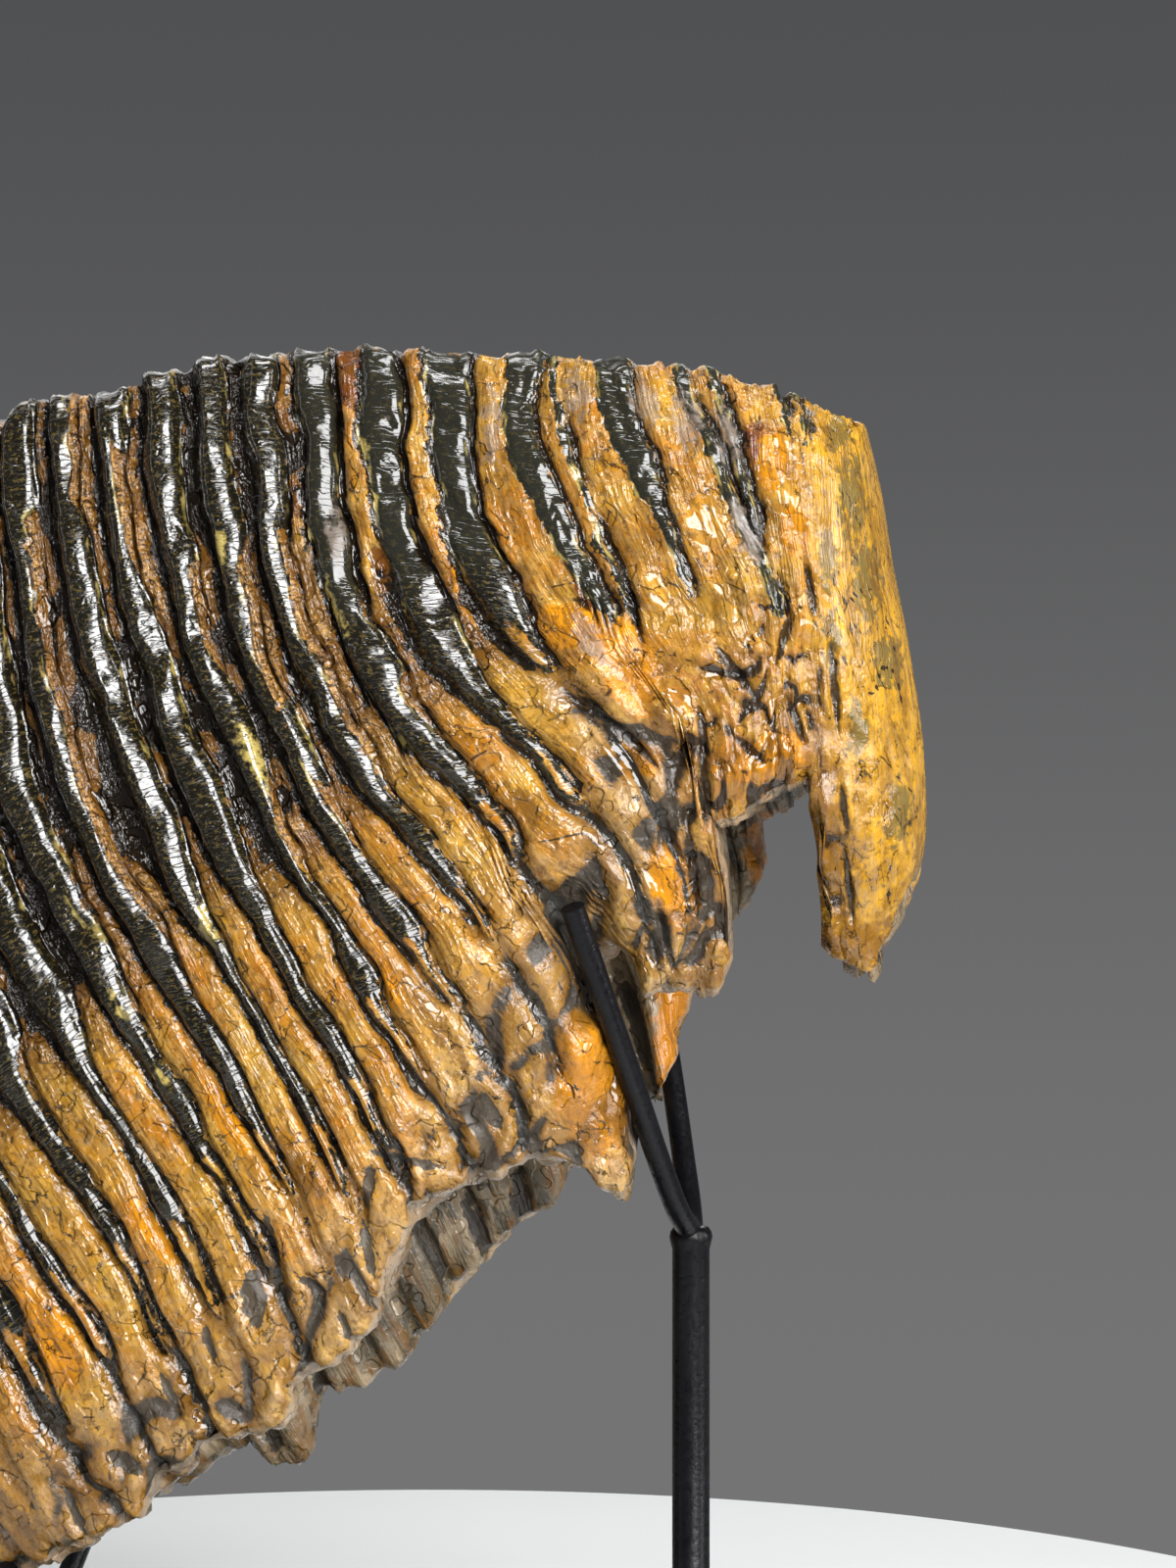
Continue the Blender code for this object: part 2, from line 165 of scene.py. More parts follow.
# ---- strips of enamel on the cement of the front plates: half width at both ends, then (x, z)
ENAMEL_STRIPS = (
    ((3.9, 1.5), ((42, 303), (40, 288), (41.5, 279), (45.5, 271), (49.5, 263), (53, 256), (56.5, 250),
                  (61, 244))),
    ((0.9, 0.9), ((46, 303), (47.5, 290), (50, 281), (54.5, 269), (58, 260), (60.5, 255), (63, 248),
                  (64, 243))),
    ((4.0, 2.6), ((58, 303), (60, 290), (62.5, 282), (65, 277), (68, 271), (69.5, 267))),
    ((1.4, 0.8), ((68, 271), (70, 265), (72, 260), (74, 255), (77, 248))),
    ((1.5, 1.6), ((72, 300), (74, 291), (77, 286), (79.5, 281), (81.5, 275), (84, 269), (88, 260),
                  (91, 254), (94, 244))),
    ((1.1, 0.9), ((78, 299), (81, 290), (83.5, 283), (85, 277), (87, 271), (90, 261))),
    ((1.0, 0.8), ((92, 293), (94, 287), (95.5, 281))),
    ((1.0, 0.8), ((95.5, 291), (98, 286), (98.5, 279))),
)
STRIP_END = 4.0  # over which a strip comes to its point

# ---- patches of the near side, as (x, z, half length, half width, how far its foot leans forward
# in degrees). cream: thin enamel, but the broad patch at (8, 275) is a painted highlight on the
# enamel; amber: cement under thick varnish; rust: iron stain; clay: grooves filled with clay;
# crevice: sharp creases, painted black as painted shade; the brown patches: brown stain, and on
# lobe B and the left of the front root painted shade too; pooled: smooth varnish.
NEAR_PATCHES = {
    # the broad cream patch at (8, 275) is a painted highlight on the enamel; the rest are thin enamel
    "cream": (
        (-14, 217, 17, 4.0, 25), (-24, 183, 12, 3.5, 30), (8, 275, 17, 5.5, 8), (2, 248, 15, 4, 25),
        (-21, 259, 12, 3, 10), (-34, 150, 9, 3, 30), (-43, 165, 9, 3, 30), (50, 238, 8, 3, 60),
    ),
    "amber": (
        (86, 216, 9, 6, 90), (94, 217, 6, 8, 0), (51, 243, 6, 12, 0), (66, 216, 5, 6, 0), (92, 276, 9, 4, 0),
        (54, 149, 20, 9, 10), (72, 190, 12, 6, 10), (64, 235, 14, 7, 20), (-60, 95, 16, 8, 30),
        (97, 262, 7, 4, 5), (30, 250, 9, 3, 15), (-36, 118, 12, 3, 35), (-20, 142, 12, 3, 30),
        (12, 172, 12, 3, 35),
    ),
    "rust": (
        (-45, 240, 14, 4, 15), (-54, 228, 12, 4, 15), (89, 279, 7, 7, 0), (-60, 215, 12, 4, 15),
        (66, 229, 5, 4, 0), (90, 223, 5, 5, 30), (55, 250, 7, 3, 20),
    ),
    "clay": (
        (9.5, 128, 7, 1.7, -12), (9, 115, 8, 1.6, 10), (17, 134, 11, 1.3, 78), (28, 137, 8, 0.8, 0),
        (-15, 105, 8, 3.4, 5), (-11, 117, 8, 1.7, 10), (34.5, 144, 6, 2.2, 25), (40, 143, 12, 1.4, 5),
        (4, 99, 6, 1.3, 20), (-25, 95, 7, 1.4, 15), (-44, 69, 6, 2.6, 60), (-56, 58, 8, 1.6, 20),
        (48, 158, 9, 3, 10), (-34, 84, 8, 1.3, 25), (-3, 108, 5, 1.2, 60), (22, 147, 7, 1.0, 40),
    ),
    # crevices are carved and painted black as painted shade
    "crevice": (
        (78.7, 211, 7, 1.4, 5), (94.7, 240, 7, 1.2, -16), (85, 234, 8, 1.3, 38), (57, 246, 7, 1.2, 60),
        (65, 245, 8, 1.2, 12), (100, 250, 7, 1.1, 8), (104.5, 231, 11, 1.2, 4), (101.5, 199.5, 1.4, 5, 3),
        (102, 187, 1.3, 5, 0), (106, 190, 9, 1.0, 3), (106, 206, 7, 1.0, 5),
        (75.6, 195, 11, 1.4, 4), (78.4, 222, 6, 1.2, 8), (64, 220, 11, 1.1, 45), (54, 226.5, 9, 1.1, 42),
        (88, 218, 5, 1.3, 50), (97, 224, 6, 1.2, 20), (70, 180, 9, 1.2, 10), (62, 172, 8, 1.2, 20),
    ),
    # brown stain; the patches on lobe B and on the left of the front root are painted shade too
    "brown_stain_and_shade": (
        (83, 190, 18, 5, 0), (78, 172, 8, 9, 90), (64, 152, 12, 5, 10), (-70, 52, 16, 8, 30),
        (-50, 62, 10, 6, 20), (-30, 84, 12, 5, 20), (24, 162, 14, 3, 35), (-4, 132, 14, 3, 35),
        (58, 196, 12, 3, 20), (70, 224, 10, 3, 10), (95, 226, 8, 3, 0), (44, 205, 12, 3, 40),
        (77, 212, 9, 3, 0), (52, 170, 10, 3, 20), (-64, 84, 10, 4, 35), (101, 200, 30, 9, 3),
        (108, 178, 8, 12, 0), (60, 142, 10, 5, 0), (74, 160, 10, 5, 0),
    ),
    "pooled": (
        (79, 264, 8, 5, 10), (69, 249, 6, 4, 0), (99, 243, 8, 4, 5), (95, 269, 5, 4, 0), (110, 235, 7, 3, 5),
        (63, 215, 8, 4, 50), (95, 280, 5, 3, 20), (113, 196, 14, 4, 0), (69, 190, 6, 4, 20),
        (60, 148, 6, 4, 10), (103, 194, 8, 5, 0), (104, 179, 6, 5, 0), (92, 216, 7, 6, 0),
        (73, 228, 6, 4, 20), (80, 248, 5, 4, 0),
    ),
}
CREVICE_DEPTH = 1.1  # also of the clay-filled grooves

# ---- patches that both sides share. dusty: dust near the chewing edge; stained: the front face
BOTH_SIDES_PATCHES = {
    "dusty": (
        (52, 291, 8, 4, 5), (66, 289, 10, 4, 10), (75, 285, 9, 4, 15), (83, 281, 10, 3.5, 15),
        (35, 284, 12, 3, 0), (87, 262, 10, 3, 20), (3, 262, 9, 3, 10), (56, 240, 9, 3, 30),
    ),
    "stained": (
        (107, 270, 13, 3, 3), (110, 252, 12, 3, 3), (104, 283, 5, 3, 0), (114, 236, 8, 3, 3),
        (103, 256, 9, 2.5, 3), (109, 222, 8, 2.5, 0), (104, 240, 8, 2, 0), (116, 205, 9, 3, 0),
    ),
}
FAR_AMBER = ((68, 158, 26, 10, 0), (86, 196, 12, 9, 0))  # on the far wall, seen below the near one

# ---- rounded lumps of the near side, as (x, z, size, height)
LUMPS = (
    (94, 217, 7, 3.2), (84, 214, 6, 2.4), (72, 226, 6, 2.0), (57, 236, 8, 2.2), (70, 262, 8, 1.4),
    (22, 196, 7, 1.0), (30, 176, 8, 1.4), (2, 132, 7, 1.2), (13, 139, 6, 1.4), (-16, 100, 8, 1.4),
    (46, 178, 9, 1.6), (57, 158, 8, 2.0), (79, 236, 5, 1.8), (97, 268, 6, 1.4), (64, 205, 7, 2.0),
    (76, 264, 6, 2.2), (66, 249, 5, 2.0), (92, 270, 4, 1.6), (97, 244, 6, 2.2), (60, 217, 6, 2.0),
    (66, 190, 5, 1.4), (92, 281, 4, 1.2), (102, 206, 4, 1.6), (103, 193, 4, 1.8), (102, 179, 6, 3.0),
    (107, 172, 5, 2.4), (108, 200, 5, 1.0), (88, 250, 7, 1.6), (60, 228, 6, 1.4),
)

# ---- the stand
BASE_SIZE = (210.0, 110.0, 8.0)
BASE_CORNER, BASE_EDGE = 6.0, 0.8
POST_RADIUS, POST_SIDES = 4.0, 48
POST_RISE = 1.0  # of the top of a bar above the middle of its rod
FOOT_OUTLINE = ((0, 1), (0.9, 1), (1.9, 0.5), (3.0, 0))  # (height over the foot, share of the bead)
TOP_OUTLINE = (  # (height over the top, how much wider than the bar)
    (-5.0, 0), (-3.6, 0.25), (-2.4, 0.5), (-1.2, 0.3), (-0.3, -0.3), (0, -1.2),
)
FOOT_WELD, TOP_WELD = (1.2, 2.0), (-2.2, 3.0)  # (height over that end of the bar, reach up and down)
WELD_LUMPS = (1.6, 0.5)  # span and height of the lumps on a weld
ROD_RADIUS = 2.5
TOUCH_GAP = 0.3  # between the base and a bar
ROD_CLEARANCE = 0.15  # from a rod to the tooth that is pressed back round it
FRONT_ARM = (
    (70.0, 0.0, 115.5), (68.9, 6.5, 119.0), (66.2, 14.5, 129.5), (61.8, 25.0, 148.0),
    (57.0, 34.5, 167.0), (52.0, 43.1, 186.0),
)
BACK_ARM = (
    (-80.0, 0.0, 15.0), (-79.2, 7.0, 17.5), (-77.2, 15.0, 25.5), (-75.0, 22.3, 34.5),
    (-73.0, 29.1, 43.5),
)
ARMS = {"front": FRONT_ARM, "back": BACK_ARM}
ROD_STEP, ROD_CHECK_STEP = 1.5, 2.0  # between points along a rod when it is drawn and checked
BURR_STEPS = ((0.35, 0.25), (0.3, -0.2))  # at a sawn end: how much narrower, how far outward

# ---- the studio, in metres and watts
LIGHTS = {
    # name: place, size, power
    "key": ((0.62, -0.72, 0.42), (0.46, 0.62), 14.8),
    "top": ((0.20, -0.30, 1.05), (0.60, 0.15), 5.0),
    "right": ((0.95, -0.15, 0.35), (0.20, 0.60), 4.5),
    "left": ((-0.9, -0.5, 0.5), (0.20, 0.80), 0.9),
    "rim": ((-0.5, 0.55, 1.0), (0.9, 0.9), 5.0),
    "back": ((-0.05, 0.95, 0.75), (0.5, 0.5), 2.5),
}
LIGHT_TARGET = (0, 0, 0.19)
TABLE_THICKNESS, TABLE_EDGE, TABLE_SIDES = 0.02, 0.001, 256
CAMERA_YAW = 10  # degrees that the camera is turned towards the tooth's front
CAMERA_DISTANCE, CAMERA_ASIDE, CAMERA_HEIGHT = 0.759, 0.0469, 0.211


# ------------------------------------------------------------------ settings in the sidebar
def colour(name, description, value):
    return FloatVectorProperty(
        name=name, description=description, default=value, size=3, min=0, max=1, subtype="COLOR"
    )


class ToothSizes(bpy.types.PropertyGroup):
    relief: FloatProperty(
        name="Relief", description="How strongly ridges and gaps stand out", default=1.0, min=0, max=2
    )
    wrinkle: FloatProperty(
        name="Wrinkles",
        description="Height of the fine wrinkles across the enamel",
        default=0.00008,
        unit="LENGTH",
    )
    crack: FloatProperty(
        name="Cracks",
        description="Depth of the cracks between the blocks of root cement",
        default=0.0013,
        unit="LENGTH",
    )


class ToothColours(bpy.types.PropertyGroup):
    enamel: colour("Enamel", "Black enamel", (0.008, 0.0065, 0.0035))
    charcoal: colour("Charcoal", "Worn enamel on the front plates", (0.017, 0.017, 0.012))
    olive: colour("Olive", "Olive specks in the enamel", (0.115, 0.082, 0.022))
    # cream: thin enamel, and in one patch a painted highlight on the enamel
    cream: colour("Cream", "Pale patches where the enamel is thin", (0.55, 0.42, 0.12))
    ochre: colour("Ochre", "Cement between the plates", (0.52, 0.275, 0.032))
    orange: colour("Orange", "Deeper cement", (0.46, 0.17, 0.009))
    amber: colour("Amber", "Glowing cement under thick varnish", (0.66, 0.255, 0.008))
    rust: colour("Rust", "Iron-stained cement", (0.13, 0.028, 0.005))
    # umber: painted shade on the cement deep between the ridges, and the colour of small dark pits
    umber: colour("Umber", "Cement deep between the ridges", (0.085, 0.026, 0.004))
    # brown: a stain, and also painted shade in sunken cement and beside the cracks between blocks
    brown: colour("Brown", "Stain in the hollows of the cement", (0.16, 0.068, 0.008))
    tan: colour("Tan", "Root cement", (0.50, 0.315, 0.105))
    pink: colour("Pink", "Pinkish root cement", (0.36, 0.23, 0.12))
    peach: colour("Peach", "Wrinkled crust of cement on the ridges", (0.55, 0.30, 0.10))
    yellow: colour("Yellow", "Cement of the front face", (0.62, 0.32, 0.014))
    clay: colour("Clay", "Grey clay left in the cracks", (0.028, 0.026, 0.020))
    dust: colour("Dust", "Pinkish grey dust near the chewing edge", (0.20, 0.15, 0.115))
    taupe: colour("Taupe", "Paler inside of the roots", (0.36, 0.27, 0.165))
    # dark: black painted shade in the gaps, trenches, crevices and grooves of the hollow, and the colour of
    # the fine cracks
    dark: colour("Gap", "Black bottoms of the gaps", (0.007, 0.0045, 0.0025))
    hollow: colour("Hollow", "Grey-brown inside of the roots", (0.10, 0.072, 0.036))
    # a grey film of varnish along the root edges, painted pale as a painted highlight on its wet edge
    varnish_film_and_highlight: colour("Skin", "Grey skin of varnish along the root edges", (0.34, 0.26, 0.18))
    stain: colour("Stain", "Green-grey stain on the front face", (0.12, 0.10, 0.030))


COLOUR_NAMES = tuple(ToothColours.__annotations__)


class StandSizes(bpy.types.PropertyGroup):
    paint: colour("Paint", "Satin black paint", (0.003, 0.003, 0.004))
    rubbed: colour("Rubbed", "Paint where it is rubbed", (0.007, 0.007, 0.008))
    dust: colour("Dust", "Thin dust on the paint", (0.02, 0.02, 0.02))
    bead: FloatProperty(
        name="Weld bead", description="How far a weld stands out", default=0.0016, unit="LENGTH"
    )


class StudioSettings(bpy.types.PropertyGroup):
    floor: colour("Floor", "Pale table top", (0.84, 0.86, 0.855))
    low: colour("Backdrop low", "Backdrop colour low down", (0.175, 0.175, 0.178))
    high: colour("Backdrop high", "Backdrop colour high up", (0.080, 0.081, 0.084))
    radius: FloatProperty(
        name="Table radius", description="Radius of the round table top", default=0.285, unit="LENGTH"
    )
    lens: FloatProperty(name="Lens", description="Focal length in mm", default=80.1, min=10)


# ------------------------------------------------------------------ curves and fields
def hermite(u, step, start, stop, start_slope, stop_slope):
    """A smooth curve from one value to the next, with the given slopes at its ends."""
    return (
        (1 + 2 * u) * (1 - u) ** 2 * start
        + u * (1 - u) ** 2 * step * start_slope
        + u**2 * (3 - 2 * u) * stop
        + u**2 * (u - 1) * step * stop_slope
    )


def span_of(knots, at):
    """For each place: the knot before it, the step to the next knot, and the share of that step."""
    knots = np.asarray(knots, float)
    i = np.clip(np.searchsorted(knots, at, side="right") - 1, 0, len(knots) - 2)
    step = knots[i + 1] - knots[i]
    return i, step, (at - knots[i]) / step


def smooth(knots, values, at):
    """Values at the places asked for, on a smooth curve through the knots."""
    values = np.asarray(values, float)
    slopes = np.gradient(values, np.asarray(knots, float), axis=0)
    i, step, u = span_of(knots, np.asarray(at, float))
    shape = u.shape + (1,) * (values.ndim - 1)
    return hermite(u.reshape(shape), step.reshape(shape), values[i], values[i + 1], slopes[i], slopes[i + 1])


def sheet(plate, level):
    """(x, z) of places given by arrays of plate and level."""
    rows = smooth(PLATES, SHEET, plate)
    slopes = np.gradient(rows, np.asarray(LEVELS), axis=1)
    i, step, u = span_of(LEVELS, level)
    n = np.arange(len(level))
    return hermite(u[:, None], step[:, None], rows[n, i], rows[n, i + 1], slopes[n, i], slopes[n, i + 1])


def straight(pairs, at):
    """Values at the places asked for, on straight lines through (place, value) pairs."""
    places, values = zip(*pairs)
    return np.interp(at, places, values)


def ease(x):
    """0 below 0 and 1 above 1, with a soft start and end."""
    x = np.clip(x, 0.0, 1.0)
    return x * x * (3 - 2 * x)


def past(value, start, span):
    """0 until a value gets to its start, and 1 once it is a span further."""
    return ease((value - start) / span)


def short_of(value, start, span):
    """0 from the start on, and 1 where the value is a span or more short of it."""
    return ease((start - value) / span)


def mix(low, high, share):
    return low + (high - low) * share


def bell(distance, width):
    """1 at no distance, falling away evenly on both sides."""
    return np.exp(-((distance / width) ** 2))


def field(places, spans, seed):
    """Smooth noise from about -1 to 1 at each place, whose swells have the given spans."""
    scaled = places / np.asarray(spans, float) + seed * 7.31
    return np.array([noise.noise(place) for place in scaled.tolist()]) * 1.4


def patches(x, z, spots):
    """1 in the middle of each spot and 0 outside them."""
    out = np.zeros_like(x)
    for cx, cz, length, width, lean in spots:
        a = math.radians(lean)
        along = (x - cx) * math.sin(a) - (z - cz) * math.cos(a)
        across = (x - cx) * math.cos(a) + (z - cz) * math.sin(a)
        out = np.maximum(out, 1 - (along / length) ** 2 - (across / width) ** 2)
    return np.clip(out, 0, 1)


def strip_distance(x, z, route):
    """Distance to a route, negative on its right, the share of it passed by then, and its length."""
    route = np.asarray(route, float)
    lengths = np.linalg.norm(np.diff(route, axis=0), axis=1)
    passed = np.concatenate(([0], np.cumsum(lengths)))
    nearest = np.full_like(x, 1e9)
    signed = np.full_like(x, 1e9)
    share = np.zeros_like(x)
    for one, two, length, before in zip(route, route[1:], lengths, passed):
        along = ((x - one[0]) * (two[0] - one[0]) + (z - one[1]) * (two[1] - one[1])) / length**2
        held = np.clip(along, 0, 1)
        dx = x - one[0] - held * (two[0] - one[0])
        dz = z - one[1] - held * (two[1] - one[1])
        distance = np.hypot(dx, dz)
        side = np.sign((two[0] - one[0]) * (z - one[1]) - (two[1] - one[1]) * (x - one[0]))
        closer = distance < nearest
        nearest = np.where(closer, distance, nearest)
        signed = np.where(closer, -side * distance, signed)
        share = np.where(closer, (before + held * length) / passed[-1], share)
    return signed, share, passed[-1]


# ------------------------------------------------------------------ the tooth's form
def half_width(plate, level):
    width = smooth(*zip(*HALF_WIDTHS), plate) * smooth(*zip(*LEVEL_SHARES), level)
    furrow = FURROW_DEPTH * bell(plate - FURROW_PLATE, FURROW_SPAN)
    width = width - furrow * past(level, FURROW_START, FURROW_FADE)
    taper = FRONT_ROOT_TAPER * past(level, ROOT_START, ROOT_TIP - ROOT_START) * (plate < FRONT_ROUND[0])
    front = np.maximum(0.0, FRONT_ROUND[0] - plate) / FRONT_ROUND[1]
    back = np.maximum(0.0, plate - BACK_ROUND[0]) / BACK_ROUND[1]
    return width * (1 - taper) * np.sqrt(1 - front**2) * np.sqrt(1 - back**2)


def stations():
    """The places along the stack where a ring is drawn."""
    angles = np.radians(np.linspace(*FRONT_SWEEP, FRONT_STEPS))
    front = list(FRONT_ROUND[0] - (FRONT_ROUND[0] - PLATES[0]) * np.sin(angles))
    middle = [plate + phase for plate in range(1, PLATES[-1] + 1) for phase in PHASES]
    middle = [place for place in middle if front[-1] + 0.04 < place < BACK_STATIONS[0] - 0.05]
    return np.array(front + middle + list(BACK_STATIONS))


def ring(plate):
    """For one station: share of the half width, level, top and inside of each point round it."""
    rows = smooth(PLATES, SHEET, plate)
    length = np.hypot(*np.diff(rows[:6], axis=0).T).sum()
    unworn = float(past(plate, FIRST_UNWORN, FULL_DOME - FIRST_UNWORN))
    wobble = 0.012 * noise.noise(Vector((plate * 1.9, 3.1, 0)))
    wobble += 0.006 * noise.noise(Vector((plate * 6, 0, 7)))
    near_end = float(straight(NEAR_ENDS, plate)) + wobble
    far_end = float(straight(FAR_ENDS, plate)) - wobble

    def top_level(share):
        dip = WORN_DIP * (1 - share**2) * (1 - unworn) + DOME_DROP * share**2 * unworn
        return dip / length

    def side(end, count, sign):
        """Down one side, with points closer together towards both edges."""
        u = np.linspace(0, 1, count)
        u = 0.7 * u + 0.3 * (0.5 - 0.5 * np.cos(math.pi * u))
        start = top_level(TOP_EDGE)
        levels = start + u * (end - start)
        run = u * (end - start) * length
        top = 1 - (1 - TOP_EDGE) * (1 - np.clip(run / TOP_BEVEL, 0, 1)) ** 2
        foot = 1 - (1 - BOTTOM_EDGE) * (1 - np.clip((run[-1] - run) / BOTTOM_BEVEL, 0, 1)) ** 2.5
        edge = 0.5 * np.exp(-run / 2.5)
        return np.column_stack([sign * top * foot, levels, edge, np.zeros(count)])

    def under(share):
        """One point of the hollow between the far and the near root wall."""
        wall = float(past(abs(share), WALL_START, WALL_FULL - WALL_START))
        hollow = float(straight(HOLLOW_TOPS, plate))
        level = hollow + ((far_end if share > 0 else near_end) - hollow) * wall
        if plate > FRONT_ROUND[0]:
            level += 0.5 * UNDER_RIDGE * math.cos(2 * math.pi * plate) / length * (1 - wall)
        return share * BOTTOM_EDGE, level, 0.0, float(short_of(abs(share), 0.98, 0.2))

    shares = np.linspace(-1, 1, TOP_POINTS + 2)[1:-1]
    edge = 1 - 0.5 * np.exp(-(1 - np.abs(shares)) * 14)
    top = np.column_stack([shares * TOP_EDGE, top_level(shares), edge, np.zeros(TOP_POINTS)])
    bottom = np.array([under(share) for share in np.linspace(1, -1, UNDER_POINTS + 2)[1:-1]])
    return np.vstack([top, side(far_end, FAR_POINTS, 1), bottom, side(near_end, NEAR_POINTS, -1)[::-1]])


# ------------------------------------------------------------------ the tooth's surface
def in_strata(plate, level, sideways):
    """Places in mm for patterns that follow the plates."""
    return np.column_stack([plate * PLATE_PITCH, level * TALLEST, sideways * SIDEWAYS_SHARE])


class Surface:
    """The relief of the tooth in mm and the masks of its finishes, at arrays of places.

    plate and level say where a place lies, sideways how far from the middle, top is 1 on the
    chewing surface, inside is 1 in the hollow, and pitch is the distance between plates there.
    """

    def __init__(self, plate, level, x, sideways, z, top, inside, pitch):
        self.plate, self.level = plate, level
        self.x, self.sideways, self.z = x, sideways, z
        self.top, self.inside, self.pitch = top, inside, pitch
        self.strata = in_strata(plate, level, sideways)
        self.slow = self.swells((30, 55, 60), 1)
        self.medium = self.swells((11, 24, 30), 2)
        self.quick = self.swells((7, 9, 20), 3)
        self.fine = self.swells((3.2, 4.5, 8), 4)
        self.ragged = self.swells((5, 3.4, 8), 12)
        self.find_zones()

    def swells(self, spans, seed):
        """Noise that follows the plates, with its spans across them, down them and sideways."""
        return field(self.strata, spans, seed)

    def find_zones(self):
        """Shares of each kind of place."""
        plate, level = self.plate, self.level
        self.ribbed = short_of(plate, *RIBBED_PLATES) * short_of(level, *RIBBED_LEVELS)
        self.low = past(level - 0.06 * self.slow, *TONGUE_LEVELS)
        self.regular = past(plate, *FIRST_PLATES)
        self.front = short_of(plate, *FRONT_FACE)
        self.last = past(plate, *LAST_PLATE)
        self.unworn = past(plate, FIRST_UNWORN, FULL_DOME - FIRST_UNWORN)
        self.crust = past(self.swells((13, 34, 40), 19), 0.05, 0.2) * (1 - self.ribbed) * (1 - self.low)
        end = straight(ENAMEL_ENDS, plate) + 0.03 * self.quick
        self.below_enamel = level - np.where(plate < ENAMEL_ENDS[0][0], ENAMEL_ENDS[0][1], end)
        self.cover = past(self.below_enamel + 0.03 * self.medium, -0.03, 0.1)
        self.root = past(self.below_enamel, 0.02, 0.08) * (1 - self.inside)

    def lay_plates(self):
        """The enamel ridge, the cement strip and the gap that every plate repeats."""
        shapes = zip(RIDGED, RIBBED, TONGUED)
        shape = Profile(*(mix(mix(a, b, self.ribbed), c, self.low) for a, b, c in shapes))
        before = shape.before + 0.1 * self.medium + 0.04 * self.ragged
        after = shape.after * (1 - 0.3 * self.crust) + 0.05 * self.quick + 0.02 * self.fine
        middle = (after - before) / 2
        half = (after + before) / 2 * np.sqrt(np.clip((0.03 - self.below_enamel) / 0.16, 1e-4, 1))
        phase = np.round(self.plate) - self.plate
        aside = (phase - middle + 0.5) % 1 - 0.5
        self.place = (phase - middle) / half

        grooves = past(self.swells((14, 60, 30), 21), -0.3, 0.3) * (1 - past(self.level, 1.04, 0.2))
        self.floor = mix(shape.floor, mix(-0.1, -1.9, grooves), self.cover)
        self.enamel = self.ridge(shape, self.floor)

        narrow = past(self.below_enamel, 0.0, 0.06)
        wander = (0.08 * self.medium + 0.05 * self.ragged) * narrow
        start = mix(after + shape.gap_after, middle + HALF_GROOVE, narrow)
        stop = mix(1 - before - shape.gap_before, 1 + middle - HALF_GROOVE, narrow)
        across = (phase + wander - (start + stop) / 2 + 0.5) % 1 - 0.5
        self.cement = self.strip(shape, self.floor, np.clip(across / (stop - start) + 0.5, 0, 1))

        self.rim = (np.abs(aside) - half) * self.pitch + 2.2 * self.crust * (aside > 0)
        # How strongly painted shade blackens the gap beside the enamel: fully on one side, patchily on the
        # other.
        self.seam = np.where(aside < 0, 1.0, 0.25 + 0.5 * ease(self.quick))
        self.trench = grooves * self.cover * short_of(np.abs(aside + wander), 0.12, 0.07)

    def ridge(self, shape, floor):
        """Enamel, steep on its dark face and gentle on its lit face, with broken stretches."""
        high = 1 - self.low
        whole = past(self.swells((10, 16, 40), 18), -0.45, 0.05)
        top = shape.crest + 0.5 * self.slow + 0.3 * self.quick + 0.12 * self.ragged
        top = top - 1.2 * (1 - whole) * high
        left = np.clip((CREST_PLACE - self.place) / (1 + CREST_PLACE), 0, 9)
        right = np.clip((self.place - CREST_PLACE) / (1 - CREST_PLACE), 0, 9)
        depth = np.maximum(top - floor, shape.fall + 0.2)
        enamel = top - depth * left**shape.steepness - shape.fall * right - (depth - shape.fall) * right**7
        return enamel + 0.9 * self.ribbed * bell(self.place + 0.82, 0.16)

    def strip(self, shape, floor, share):
        """Cement, which breaks off and starts again along its strip and smooths out on the root."""
        self.kept = past(self.swells((9, 26, 30), 5), -0.35, 0.12)
        chunks = past(self.swells((12, 10, 30), 20), -0.1, 0.06)
        uneven = (0.7 * self.medium + 0.4 * self.ragged) * (1 - 0.5 * self.low)
        uneven = uneven + (1.3 * chunks - 0.7) * (1 - 0.7 * self.low)
        top = shape.cement - 1.2 * (1 - self.kept) * (1 - self.low) + uneven + 0.8 * self.crust
        top = mix(top, 0.3, past(self.below_enamel, 0.0, 0.15))
        return top - shape.cement_fall * share - (top - floor) * np.abs(2 * share - 1) ** 7

    def lay_front(self):
        """The ribbed cement of the front plates with its wandering strips of enamel."""
        enamel = np.full_like(self.plate, -9.0)
        rim = np.full_like(self.plate, 9.0)
        trench = np.zeros_like(self.plate)
        for (first, final), route in ENAMEL_STRIPS:
            distance, passed, length = strip_distance(self.x, self.z, route)
            distance = distance + 0.5 * self.quick + 0.45 * self.ragged
            room = np.where(passed > 0, (1 - passed) * length, 0.0) / STRIP_END
            width = mix(first, final, passed) * np.sqrt(np.clip(room, 1e-3, 1)) * (1 + 0.25 * self.medium)
            place = distance / width
            enamel = np.maximum(enamel, 0.2 + 1.2 * bell(place - 0.6, 0.45) - 1.5 * np.abs(place) ** 6)
            rim = np.minimum(rim, np.abs(distance) - width)
            cut = bell(distance + width + 0.5, 0.8) * (room > 0.02)
            trench = np.maximum(trench, cut * ease(0.9 + self.medium))
        ribs = 0.8 * self.swells((5, 45, 30), 6) + 0.6 * self.swells((2.4, 18, 20), 7) + 0.5 * self.ragged
        cement = ribs * past(self.plate, 1.5, 2) * (1 - 0.5 * past(self.level, 0.55, 0.2))
        return enamel, cement + 0.5 - 2.4 * trench, rim, trench

